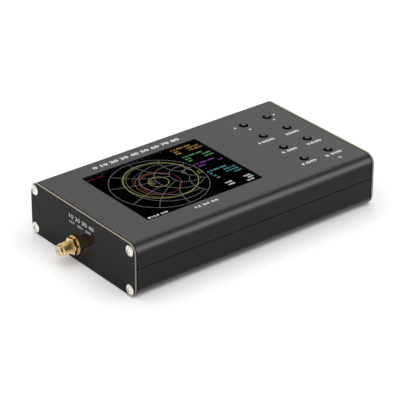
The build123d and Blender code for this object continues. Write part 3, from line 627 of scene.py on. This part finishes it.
def soften(piece, width, segments=2):
    """Breaks a piece's sharp edges, as a real edge always is a little."""
    bevel = piece.modifiers.new("broken_edges", "BEVEL")
    bevel.width = width
    bevel.segments = segments
    bevel.limit_method = "ANGLE"
    bevel.angle_limit = smooth_below
    bevel.harden_normals = True


def merged_copy(node):
    """A bmesh of a CAD node with its loose triangles joined into clean faces."""
    bm = bmesh.new()
    bm.from_mesh(nodes[node].data)
    bmesh.ops.remove_doubles(bm, verts=bm.verts, dist=same_place)
    bmesh.ops.dissolve_limit(bm, angle_limit=flat_below, verts=bm.verts, edges=bm.edges)
    return bm


print("piece helpers ready")

# %% [markdown]
# ## The case halves
#
# A blasted edge is never knife sharp, so a merged copy of each half gets a small bevel, and
# its edges the thin line of light that they have in the hand.  Two joints show as fine dark
# lines: the halves meet in a narrow groove along the sides, and their sawn ends stop a
# little short of the end plates.

# %% Case halves with broken edges
groove = 0.3 * mm
end_gap = 0.5 * mm
rim_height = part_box("lower_shell")[1].z
rim_play = 0.3 * mm          # how near to that height a vertex on the rim lies
rim_width = 0.6 * mm
sawn_end = case_high.x - 0.01 * mm
for half in ("upper_shell", "lower_shell"):
    bm = merged_copy(half)
    for vert in bm.verts:
        level = abs(vert.co.z - rim_height) < rim_play
        if half == "upper_shell" and level and abs(vert.co.y) > case_high.y - rim_width:
            vert.co.z += groove
        if abs(vert.co.x) > sawn_end:
            vert.co.x -= end_gap if vert.co.x > 0 else -end_gap
    piece = make_piece(half + "_dressed", bm, [case_black], turned_out=False)
    soften(piece, 0.1 * mm)
    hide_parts(half)

# %% [markdown]
# ## The end plates
#
# A copy of each plate gets two materials.  A face that looks along X is masked black, and
# every other face is the cut edge, bare laminate, as on a routed board.

# %% End plates
facing = 0.7                 # how squarely a face looks along X to count as masked
for plate in ("front_end_plate", "rear_end_plate"):
    bm = merged_copy(plate)
    for face in bm.faces:
        face.material_index = 0 if abs(face.normal.x) > facing else 1
    piece = make_piece(
        plate + "_dressed", bm, [mask_black, cut_edge], turned_out=False
    )
    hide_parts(plate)

# %% [markdown]
# ## Screws
#
# The heads are domed and cross-recessed.  Pressing the recess leaves soft edges, so the
# bevel here is wider than on the case.  These heads are driven home, so what stands out of
# the plate is pressed down a little.

# %% Plate screws
head_pressed = 0.35          # share of a head's height
for screws in ("front_plate_screws", "rear_plate_screws"):
    bm = merged_copy(screws)
    for vert in bm.verts:
        proud = abs(vert.co.x) - abs(front_face)
        if proud > 0:
            vert.co.x -= head_pressed * proud * (1 if vert.co.x > 0 else -1)
    piece = make_piece(screws + "_dressed", bm, [screw_nickel], turned_out=False)
    soften(piece, 0.12 * mm, 3)
    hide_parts(screws)

# %% [markdown]
# ## Snap domes
#
# Under each stem a thin steel dome gives the click.  It can't slide with the stem, so it
# flattens under it.  Each dome here is a merged copy with a mesh of its own.

# %% Domes, each with a mesh of its own
for number in buttons:
    dome = f"button_{number}_dome"
    piece = make_piece(
        dome + "_dressed", merged_copy(dome), [spring_steel], turned_out=False
    )
    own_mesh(piece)
    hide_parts(dome)

# %% [markdown]
# ## The test port's body
#
# The jack is turned from one bar: a plain shank under the nut, a quarter-inch thread of 36
# turns to the inch, a narrow undercut and a smooth pilot.  A lathe is a spin, so its outline
# is spun once round the axis.  The thread is a spin too, with a step along the axis at each
# turn, which makes a true helix.

# %% The turned outline
shank_radius = 3.0 * mm
thread_radius = 3.175 * mm
thread_root = 2.74 * mm
undercut_radius = 2.35 * mm
pilot_radius = 2.65 * mm
bore_radius = 2.07 * mm
pilot_chamfer = 0.3 * mm
shank_reach = 3.0 * mm       # from the plate's outer face
thread_reach = 8.5 * mm
undercut_width = 0.4 * mm
pilot_reach = front_face - port_low.x
flange_reach = front_face - plate_high.x
steps_per_turn = 72


def port_point(reach, radius):
    """A point above the port's axis, at a reach from the plate's outer face."""
    return Vector((front_face - reach, port_axis.y, port_axis.z + radius))


outline = (
    (flange_reach, bore_radius),
    (flange_reach, shank_radius),
    (shank_reach, shank_radius),
    (shank_reach, thread_root),
    (thread_reach, thread_root),
    (thread_reach, undercut_radius),
    (thread_reach + undercut_width, undercut_radius),
    (thread_reach + undercut_width, pilot_radius),
    (pilot_reach - pilot_chamfer, pilot_radius),
    (pilot_reach, pilot_radius - pilot_chamfer),
    (pilot_reach, bore_radius),
)


def closed_loop(bm, points):
    """Vertices and edges of a closed outline."""
    verts = [bm.verts.new(p) for p in points]
    pairs = zip(verts, verts[1:] + verts[:1])
    return verts + [bm.edges.new(pair) for pair in pairs]


port = bmesh.new()
loop = closed_loop(port, [port_point(*p) for p in outline])
bmesh.ops.spin(
    port, geom=loop, cent=port_axis, axis=(1, 0, 0), angle=2 * pi,
    steps=steps_per_turn, use_merge=True,
)
print("turned body:", len(port.faces), "faces")

# %% The thread
inch = 25.4 * mm
thread_pitch = inch / 36
ridge_half = 0.46 * thread_pitch
crest_half = 0.07 * thread_pitch
sunk = 0.03 * mm             # the ridge's foot is let into the body
spare_turns = 2              # cut off square at both ends
turns = int((thread_reach - shank_reach) / thread_pitch) + spare_turns

thread = bmesh.new()
start = shank_reach - thread_pitch
ridge = (
    (start - ridge_half, thread_root - sunk),
    (start - crest_half, thread_radius),
    (start + crest_half, thread_radius),
    (start + ridge_half, thread_root - sunk),
)
face = thread.faces.new([thread.verts.new(port_point(*p)) for p in ridge])
bmesh.ops.spin(
    thread, geom=[face, *face.edges, *face.verts], cent=port_axis, axis=(1, 0, 0),
    dvec=(-thread_pitch / steps_per_turn, 0, 0), angle=2 * pi * turns,
    steps=turns * steps_per_turn,
)
for reach, outward in ((shank_reach, 1), (thread_reach, -1)):
    cut = bmesh.ops.bisect_plane(
        thread, geom=[*thread.verts, *thread.edges, *thread.faces],
        plane_co=port_point(reach, 0.0), plane_no=(outward, 0, 0), clear_outer=True,
    )
    edges = [e for e in cut["geom_cut"] if isinstance(e, bmesh.types.BMEdge)]
    bmesh.ops.edgeloop_fill(thread, edges=edges)
ridge_mesh = bpy.data.meshes.new("thread_ridge")
bmesh.ops.recalc_face_normals(thread, faces=thread.faces)
thread.to_mesh(ridge_mesh)
thread.free()
print("thread:", turns - spare_turns, "turns,", len(ridge_mesh.polygons), "faces")

# %% Flange and legs, then the whole body
def add_block(bm, low, high):
    """Adds a closed block between two corners, from the cube operator."""
    size = Vector(high) - Vector(low)
    matrix = Matrix.Translation((Vector(low) + Vector(high)) / 2) @ Matrix.Diagonal((*size, 1))
    bmesh.ops.create_cube(bm, size=1.0, matrix=matrix)


flange_thickness = 1.6 * mm
leg_side = 1.2 * mm
leg_gap = 0.05 * mm          # between a leg and the board
board_low, board_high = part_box("main_board")
flange_back = plate_high.x + flange_thickness
add_block(port, (plate_high.x, port_low.y, port_low.z), (flange_back, port_high.y, port_high.z))
for y in (port_low.y, port_high.y - leg_side):
    for board, side in ((board_high.z, 1), (board_low.z, -1)):
        z = sorted((board + side * leg_gap, board + side * (leg_gap + leg_side)))
        add_block(port, (flange_back, y, z[0]), (port_high.x, y + leg_side, z[1]))
bmesh.ops.recalc_face_normals(port, faces=port.faces)
port.from_mesh(ridge_mesh)
bpy.data.meshes.remove(ridge_mesh)
piece = make_piece("test_port_body_turned", port, [port_gold], turned_out=False)
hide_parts("test_port_body")

# %% Nut and washer with broken edges
for ring, width in (("test_port_nut", 0.08 * mm), ("test_port_washer", 0.06 * mm)):
    piece = make_piece(
        ring + "_dressed", merged_copy(ring), [port_gold], turned_out=False
    )
    soften(piece, width)
    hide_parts(ring)

# %% [markdown]
# ## The display window
#
# The clear window is one moulding: a wide flange under the case, and a raised face that
# fills the opening, half a millimetre below the case.  The display glass stands in a pocket
# behind the face, and a small bevel catches the light on the rim.

# %% Window
bm = merged_copy("display_window")
piece = make_piece(
    "display_window_clear", bm, [finishes["window_clear"]], turned_out=False
)
soften(piece, 0.05 * mm)
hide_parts("display_window")

# %% [markdown]
# ## The picture on the display
#
# An analyzer plots its readings on an impedance chart: a circle crossed by two families of
# circles, one for resistance and one for reactance.  Each line is a thin lit ribbon on the
# display glass: a small square face, spun about the centre that the chart's geometry gives.

# %% Lit inks
picture_low = lcd_high.z + 0.008 * mm
picture_thickness = 0.03 * mm
picture_levels = (picture_low, picture_low + picture_thickness)
pixel_pitch = 0.22 * mm
pixel_share = 0.86           # of the pitch
between_pixels = 0.35        # share of the light


def lit_ink(name, colour):
    """Light from the display, broken by the dark lines between its pixels."""
    uniform = {
        "Specular IOR Level": 0.0,
        "Base Color": (0.0005, 0.0005, 0.0005, 1.0),
        "Roughness": 0.4,
        "Emission Strength": 1.0,
    }
    material, tree, shader = new_material(name, uniform)
    stretch = (mm / pixel_pitch, mm / pixel_pitch, 1.0)
    parts = axes(tree, place_in_mm(tree, stretch))
    columns = sums(tree, "LESS_THAN", sums(tree, "FRACT", parts["X"]), pixel_share)
    rows = sums(tree, "LESS_THAN", sums(tree, "FRACT", parts["Y"]), pixel_share)
    pixels = times(tree, columns, rows)
    dark = tuple(between_pixels * c for c in colour)
    tree.links.new(tint(tree, pixels, dark, colour), shader.inputs["Emission Color"])
    return material


ink_colours = {
    "grey": (0.22, 0.22, 0.21),
    "white": (0.80, 0.80, 0.80),
    "yellow": (0.42, 0.41, 0.14),
    "old_yellow": (0.17, 0.165, 0.06),
    "orange": (0.30, 0.12, 0.05),
    "dim_red": (0.16, 0.02, 0.04),
    "dim_violet": (0.10, 0.05, 0.14),
    "amber": (0.42, 0.25, 0.08),
    "green": (0.12, 0.36, 0.14),
    "violet": (0.24, 0.07, 0.32),
    "cyan": (0.12, 0.34, 0.38),
    "red": (0.12, 0.01, 0.03),
}
lit = {name: lit_ink("lit_" + name, colour) for name, colour in ink_colours.items()}
print(len(lit), "lit inks")

# %% Ribbons along arcs
ribbon_step = 0.5 * mm


def add_arc(bm, centre, radius, start, sweep, width, levels=picture_levels):
    """A flat ribbon along an arc round a centre (x, y), spun from its square end."""
    middle = Vector((*centre, 0.0))
    out = Vector((cos(start), sin(start), 0.0))
    inner, outer = radius - width / 2, radius + width / 2
    low, high = levels
    corners = ((inner, low), (outer, low), (outer, high), (inner, high))
    points = [middle + out * r + Vector((0, 0, z)) for r, z in corners]
    whole = abs(sweep) > 2 * pi - 0.001
    loop = closed_loop(bm, points)
    if not whole:
        loop.append(bm.faces.new(loop[:4]))
    steps = max(6, int(abs(sweep) * radius / ribbon_step))
    bmesh.ops.spin(
        bm, geom=loop, cent=middle, axis=(0, 0, 1), angle=sweep, steps=steps, use_merge=whole
    )


print("ribbons ready")

# %% The impedance chart
screen_middle = Vector(((lcd_low.x + lcd_high.x) / 2, (window_low.y + window_high.y) / 2))
chart_centre = screen_middle + Vector((-7.1 * mm, 2.5 * mm))
chart_radius = 24.8 * mm
line_width = 0.24 * mm
resistance_lines = {0.2: 2, 0.5: 2, 1: 5, 2: 5, 5: 10}      # and the reactance each runs to
reactance_lines = {0.2: 1, 0.5: 2, 1: 2, 2: 5, 5: 10}       # and the resistance each runs to


def reflection(resistance, reactance):
    """Where an impedance falls on a chart of radius 1."""
    impedance = complex(resistance, reactance)
    return (impedance - 1) / (impedance + 1)


def add_chart_line(bm, centre, spoke, sweep):
    """Part of a circle on the chart: it starts where the spoke from the centre ends."""
    middle = chart_centre + Vector((centre.real, centre.imag)) * chart_radius
    add_arc(bm, middle, abs(spoke) * chart_radius, phase(spoke), sweep, line_width)


chart = bmesh.new()
add_arc(chart, chart_centre, chart_radius, 0, 2 * pi, line_width)
for resistance, reach in resistance_lines.items():
    centre = complex(resistance / (1 + resistance))
    spoke = reflection(resistance, reach) - centre
    add_chart_line(chart, centre, spoke, 2 * (pi - phase(spoke)))
for reactance, reach in reactance_lines.items():
    for side in (-reactance, reactance):
        centre = complex(1, 1 / side)
        spoke = reflection(0, side) - centre
        end = reflection(reach, side) - centre
        add_chart_line(chart, centre, spoke, phase(end / spoke))
make_piece("screen_chart", chart, [lit["grey"]])

# %% The plotted traces
trace_width = 0.30 * mm
traces_drawn = {             # place on the chart and radius in millimetres, start and sweep
    "yellow": (
        (2.6, 2.3, 18.7, 0, 2 * pi),
        (0.8, 1.4, 5.1, 0, 2 * pi),
        (-1.2, 2.6, 1.9, 1.2, 3.4),
        (23.6, -2.3, 1.2, 0, 2 * pi),
        (17.5, 2.0, 1.5, 0.6, 4.2),
    ),
    "old_yellow": ((3.4, 1.9, 17.75, 0, 2 * pi), (0.5, 1.2, 9.4, 2.2, 1.4)),
    "orange": ((-0.1, 0.15, 11.6, 1.0, 3.3), (0.5, 1.2, 9.4, 0.5, 2.6)),
    "dim_red": ((-0.1, 0.15, 11.6, 4.3, 3.0), (0.6, -0.6, 10.6, 2.9, 3.6)),
    "dim_violet": ((0.9, 2.0, 12.4, 1.7, 1.2),),
}
for colour, arcs in traces_drawn.items():
    bm = bmesh.new()
    for x, y, radius, start, sweep in arcs:
        centre = chart_centre + Vector((x * mm, y * mm))
        add_arc(bm, centre, radius * mm, start, sweep, trace_width)
    make_piece("screen_trace_" + colour, bm, [lit[colour]])

# %% [markdown]
# ## Numerals
#
# The readings beside the chart and the print on the case are plain numbers.  Blender's text
# objects make them: each is turned into a mesh, and only then moved to its place, so that
# the finished piece still has its origin at the model's.

# %% Numeral helper
def span(mesh, axis):
    """The lowest and the highest place of a mesh along an axis."""
    places = [v.co[axis] for v in mesh.vertices]
    return min(places), max(places)


def add_numerals(bm, text, length, height, place, thickness, weight=0.04):
    """Adds numerals of a set length and height, centred where the matrix place carries them.

    The weight is how far each stroke is swelled, as a share of the height.
    """
    curve = bpy.data.curves.new("numerals", "FONT")
    curve.body = text
    curve.size = height
    curve.offset = weight * height
    curve.extrude = thickness / 2
    curve.resolution_u = 2
    holder = bpy.data.objects.new("numerals", curve)
    mesh = bpy.data.meshes.new_from_object(holder)
    (left, right), (bottom, top) = span(mesh, 0), span(mesh, 1)
    to_middle = Matrix.Translation((-(left + right) / 2, -(bottom + top) / 2, thickness / 2))
    fit = Matrix.Diagonal((length / (right - left), height / (top - bottom), 1.0, 1.0))
    mesh.transform(place @ fit @ to_middle)
    bm.from_mesh(mesh)
    bpy.data.meshes.remove(mesh)
    bpy.data.objects.remove(holder)
    bpy.data.curves.remove(curve)


print("numeral helper ready")

# %% Readings beside the chart
reading_height = 1.3 * mm
readings = {                 # left and right end and height on the screen, and the numbers
    "amber": (
        (-0.8, 11.2, 26.2, "1 2 500 000"),
        (-0.6, 2.1, 23.9, "36"),
        (7.4, 15.0, 23.9, "0.84 1.07"),
        (-0.8, 2.3, 21.6, "18"),
        (7.5, 15.0, 21.6, "12 36.2"),
    ),
    "green": (
        (-0.6, 11.5, 16.8, "2 5 000 000"),
        (-0.7, 2.3, 14.3, "51"),
        (10.0, 15.0, 14.3, "2.200"),
        (-0.6, 2.0, 11.9, "07"),
        (9.6, 15.0, 11.7, "18.93"),
    ),
    "violet": ((-1.2, 11.8, 7.2, "3 7 500 000"), (0.0, 4.0, 4.5, "331"), (12.3, 15.0, 4.5, "1.48")),
    "cyan": (
        (-0.5, 11.3, -2.8, "5 0 000 000"),
        (-0.7, 1.0, -5.3, "27"),
        (7.6, 15.0, -5.4, "0.62 1.15"),
        (-0.5, 1.0, -7.9, "15"),
        (7.1, 15.0, -7.9, "41.7 0.90"),
        (-0.5, 1.4, -10.3, "62"),
        (10.8, 15.0, -10.4, "0.415"),
    ),
    "white": (
        (-0.7, 3.4, -17.2, "1:25"),
        (-0.6, 3.3, -19.6, "1000"),
        (11.0, 14.9, -17.3, "100"),
        (11.6, 15.0, -19.4, "200"),
        (9.3, 13.9, -21.7, "25.00"),
        (-50.0, -45.6, -22.4, "12.5"),
        (-44.6, -40.4, -22.4, "500"),
    ),
    "red": ((-53.2, -48.6, 25.9, "000"), (-47.2, -42.8, 25.9, "125")),
}
for colour, lines in readings.items():
    bm = bmesh.new()
    for left, right, y, text in lines:
        spot = Matrix.Translation(((left + right) / 2 * mm, y * mm, picture_low))
        add_numerals(bm, text, (right - left) * mm, reading_height, spot, picture_thickness)
    if colour == "white":    # the small lamp beside the corner numbers
        add_arc(bm, (-51.4 * mm, -22.4 * mm), 0.45 * mm, 0, 2 * pi, 0.8 * mm)
    make_piece("screen_readings_" + colour, bm, [lit[colour]])

# %% [markdown]
# ## Print on the case
#
# Screen-printed ink stands a few hundredths of a millimetre proud and is dull.  The print
# here is a length scale, plain numbers beside the buttons and small arrows.

# %% Ink
print_ink, *_ = finish(
    "print_ink", (0.60, 0.60, 0.60), (0.74, 0.74, 0.74), (0.6, 0.8), cloud=2.0, grain_size=0.1
)
ink_thickness = 0.02 * mm
print("print ink")

# %% Print helpers
def add_print(bm, text, x, y, length, height, surface, weight=0.04):
    """Adds inked numerals round a point of a surface."""
    spot = surface @ Matrix.Translation((x, y, 0))
    add_numerals(bm, text, length, height, spot, ink_thickness, weight)


def add_arrow(bm, centre, heading, size, place):
    """Adds a flat triangle that points along heading, in radians."""
    spin = Matrix.Translation((*centre, ink_thickness / 2)) @ Matrix.Rotation(heading, 4, "Z")
    bmesh.ops.create_cone(
        bm, cap_ends=True, segments=3, radius1=size, radius2=size, depth=ink_thickness,
        matrix=place @ spin @ Matrix.Rotation(-pi / 2, 4, "Z"),
    )


print("print helpers ready")

# %% Scale above the display and numbers below it
on_top = Matrix.Translation((0, 0, top_face))
display_print = {            # numbers, middle, length and height in millimetres
    "print_scale": ("0 10 20 30 40 50 60 70 80", -17.3, 33.0, 53.6, 2.5),
    "print_below_display": ("12 34 56", -22.5, -29.6, 13.9, 1.8),
}
for name, (text, *sizes) in display_print.items():
    bm = bmesh.new()
    add_print(bm, text, *[size * mm for size in sizes], on_top)
    make_piece(name, bm, [print_ink])

# %% Numbers and signs beside the buttons
legends = bmesh.new()
numbers = {                  # left and right end and height from the button's middle
    3: ("1000", -7.2, 2.9, -5.2),
    4: ("2500", -6.0, 2.6, -5.9),
    5: ("5 000", -4.9, 5.0, -4.5),
    6: ("7500", -4.9, 4.7, -5.3),
    7: ("100", -5.2, 4.0, -4.6),
    8: ("2 500", -6.1, 4.6, -5.0),
}
arrows = {                   # place from the button's middle, and heading
    1: (((-5.7, -0.1), pi), ((-0.4, -5.7), -pi / 2)),
    2: (((4.6, 0.2), 0.0), ((0.9, -4.5), pi / 2)),
}
arrow_size = 1.0 * mm
word_height = 1.9 * mm
for number in buttons:
    low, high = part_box(f"button_{number}_stem")
    middle = (low + high) / 2
    if number in numbers:
        text, left, right, y = numbers[number]
        x = middle.x + (left + right) / 2 * mm
        length = (right - left) * mm
        add_print(legends, text, x, middle.y + y * mm, length, word_height, on_top)
    for (x, y), heading in arrows.get(number, ()):
        add_arrow(legends, (middle.x + x * mm, middle.y + y * mm), heading, arrow_size, on_top)
sign_x, sign_y = middle.x - 0.85 * mm, middle.y - 10.0 * mm   # under the last button
sign_radius = 0.85 * mm
sign_line = 0.28 * mm
ink_levels = (top_face, top_face + ink_thickness)
add_arc(
    legends, (sign_x, sign_y), sign_radius, radians(120), radians(300), sign_line, ink_levels
)
bar_low = (sign_x - sign_line / 2, sign_y, ink_levels[0])
add_block(legends, bar_low, (sign_x + sign_line / 2, sign_y + 1.1 * mm, ink_levels[1]))
make_piece("print_buttons", legends, [print_ink])

# %% Numbers over the test port
on_front = Matrix(((0, 0, -1, front_face), (-1, 0, 0, 0), (0, 1, 0, 0), (0, 0, 0, 1)))
front_print = bmesh.new()
thin = 0.02
add_print(front_print, "10 20 30 40", 0, 22.6 * mm, 20.0 * mm, 2.2 * mm, on_front, thin)
add_print(
    front_print, "100   250   500", -1.05 * mm, 19.5 * mm, 17.1 * mm, 1.3 * mm, on_front, thin
)
make_piece("print_test_port", front_print, [print_ink])

# %% Marks on the rear plate
on_rear = Matrix(((0, 0, 1, rear_face), (1, 0, 0, 0), (0, 1, 0, 0), (0, 0, 0, 1)))
rear_print = bmesh.new()
usb_low, usb_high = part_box("usb_shell")
lamp_low, lamp_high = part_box("charge_lamps")
usb_y = (usb_low.y + usb_high.y) / 2
lamp_radius = 1.5 * mm
lamps = (lamp_low.y + lamp_radius, lamp_high.y - lamp_radius)
mark_rise = 4.0 * mm         # over what a mark belongs to
add_arrow(rear_print, (usb_y, usb_high.z + mark_rise), -pi / 2, 1.2 * mm, on_rear)
for number, width, y in zip("12", (0.8 * mm, 1.3 * mm), lamps):
    add_print(rear_print, number, y, lamp_high.z + mark_rise, width, 2.0 * mm, on_rear)
make_piece("print_rear", rear_print, [print_ink])

# %% [markdown]
# ## Small things inside the rear openings
#
# Someone who looks into the receptacle sees gold contacts on its tongue, and inside each
# clear lamp sits a small bright cup.  Both are tiny and plain, so they are blocks and cones.

# %% Receptacle contacts
tongue_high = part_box("usb_tongue")[1]
contact_pitch = 0.5 * mm
contact_width = 0.26 * mm
contact_film = 0.02 * mm
tongue_half = 0.35 * mm
tongue_z = (usb_low.z + usb_high.z) / 2
contacts = bmesh.new()
for step in range(7):
    y = usb_y + (step - 3) * contact_pitch
    for side in (-1, 1):
        z = sorted((tongue_z + side * tongue_half, tongue_z + side * (tongue_half + contact_film)))
        low = (tongue_high.x - 3.0 * mm, y - contact_width / 2, z[0])
        add_block(contacts, low, (tongue_high.x - 0.3 * mm, y + contact_width / 2, z[1]))
make_piece("usb_contacts", contacts, [port_gold])

# %% Lamp cups
cups = bmesh.new()
lamp_z = (lamp_low.z + lamp_high.z) / 2
cup_x = lamp_high.x - 2.6 * mm
for y in lamps:
    turn = Matrix.Translation((cup_x, y, lamp_z)) @ Matrix.Rotation(pi / 2, 4, "Y")
    bmesh.ops.create_cone(
        cups, cap_ends=True, segments=24, radius1=0.45 * mm, radius2=0.8 * mm,
        depth=1.0 * mm, matrix=turn,
    )
make_piece("lamp_cups", cups, [tinned_metal])

# %% [markdown]
# ## Floor and light
#
# The instrument lies on a plain white sheet under one wide soft box, so its shadow is short
# and soft on every side.  The floor adds a little light of its own to what the camera and
# shiny surfaces see, so that it reads white.  Black anodising shows mostly what it mirrors,
# so the room matters: it has a bright band behind the instrument and another on the near
# side, and the darker gap between them draws the rounded corner.

# %% Floor
floor_size = 3.0
floor_glow = 0.15


def ray_kinds(tree):
    """Masks of the camera's rays and of those that mirror or pass through a surface."""
    rays = add(tree, "ShaderNodeLightPath").outputs
    shiny = sums(tree, "MAXIMUM", rays["Is Glossy Ray"], rays["Is Transmission Ray"])
    return rays["Is Camera Ray"], shiny


uniform = {
    "Base Color": (0.90, 0.90, 0.90, 1.0),
    "Roughness": 0.9,
    "Specular IOR Level": 0.0,
    "Emission Color": (1.0, 1.0, 1.0, 1.0),
}
sheet, tree, shader = new_material("floor_sheet", uniform)
seen = sums(tree, "MAXIMUM", *ray_kinds(tree))
tree.links.new(times(tree, seen, floor_glow), shader.inputs["Emission Strength"])
bm = bmesh.new()
bmesh.ops.create_circle(bm, cap_ends=True, segments=64, radius=floor_size)
floor = new_object("floor", bm, [sheet])
floor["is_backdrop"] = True

# %% Room light
white = 1.0                  # what the camera sees
room_level = 0.12            # what dull surfaces receive from all round
front_level = 0.9            # what shiny surfaces mirror on the test port's side
brightest = 3.5
bands = (                    # angle over the instrument from its far side, and level
    (0, 0.25), (20, 1.1), (34.6, 2.2), (45, 3.1), (55, 3.5), (65, 3.5), (75, 3.1), (85, 2.5),
    (95, 1.75), (105, 1.35), (115, 1.5), (125, 1.8), (140, 2.0), (180, 2.0),
)

world = bpy.data.worlds.new("room")
scene.world = world
world.use_nodes = True
tree = world.node_tree
tree.nodes.clear()
direction = add(tree, "ShaderNodeTexCoord").outputs["Generated"]
parts = axes(tree, direction)
angle = sums(tree, "DIVIDE", sums(tree, "ARCTAN2", parts["Z"], parts["Y"]), pi)
ramp = add(tree, "ShaderNodeValToRGB", {0: angle})
stops = ramp.color_ramp.elements
while len(stops) < len(bands):
    stops.new(0.5)
for stop, (degrees, level) in zip(stops, bands):
    stop.position = degrees / 180
    stop.color = (*[level / brightest] * 3, 1.0)
rear_room = times(tree, ramp.outputs[0], brightest)
mirrored = spread(tree, parts["X"], front_level, rear_room, start=0.10, end=0.35)
direct, shiny = ray_kinds(tree)
level = spread(tree, direct, spread(tree, shiny, room_level, mirrored), white)
background = add(tree, "ShaderNodeBackground", {"Strength": level})
out = add(tree, "ShaderNodeOutputWorld")
tree.links.new(background.outputs[0], out.inputs[0])
print("room light", room_level, "and", len(bands), "bands")

# %% Soft box
lamp_height = 1.2
lamp_size = 2.2
lamp_radiance = 1.86         # how bright its face looks
data = bpy.data.lights.new("soft_box_overhead", "AREA")
data.size = lamp_size
data.energy = lamp_radiance * pi * lamp_size**2
lamp = bpy.data.objects.new("soft_box_overhead", data)
lamp.location = (cad_low + cad_high) / 2 + Vector((0.0, 0.0, lamp_height))
lamp.visible_glossy = False  # shiny surfaces mirror the room in its place
scene.collection.objects.link(lamp)
print("soft box draws", round(data.energy, 2), "W")

# %% [markdown]
# ## Camera
#
# The view is a long lens from the front left, looking down by 28 degrees.  The camera is
# aimed at a point inside the case, and then turned a little about its own axis.

# %% Camera
camera_place = Vector((-0.568531, -0.705315, 0.496800))
camera_aim = Vector((0.000755, 0.004464, 0.007702))
camera_roll = radians(0.2127)
camera = bpy.data.cameras.new("camera")
camera.sensor_width = 36.0
camera.lens = 186.095
camera.clip_start = 0.01
camera.clip_end = 20.0
eye = bpy.data.objects.new("camera", camera)
eye.location = camera_place
eye.rotation_mode = "QUATERNION"
aim = (camera_aim - camera_place).to_track_quat("-Z", "Y")
eye.rotation_quaternion = aim @ Matrix.Rotation(camera_roll, 3, "Z").to_quaternion()
scene.collection.objects.link(eye)
scene.camera = eye
print("lens", camera.lens, "mm")

# %% Sizes, and the end
look_low, look_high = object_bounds()
sizes = {"cad": [list(cad_low), list(cad_high)], "visual": [list(look_low), list(look_high)]}
print(sizes)
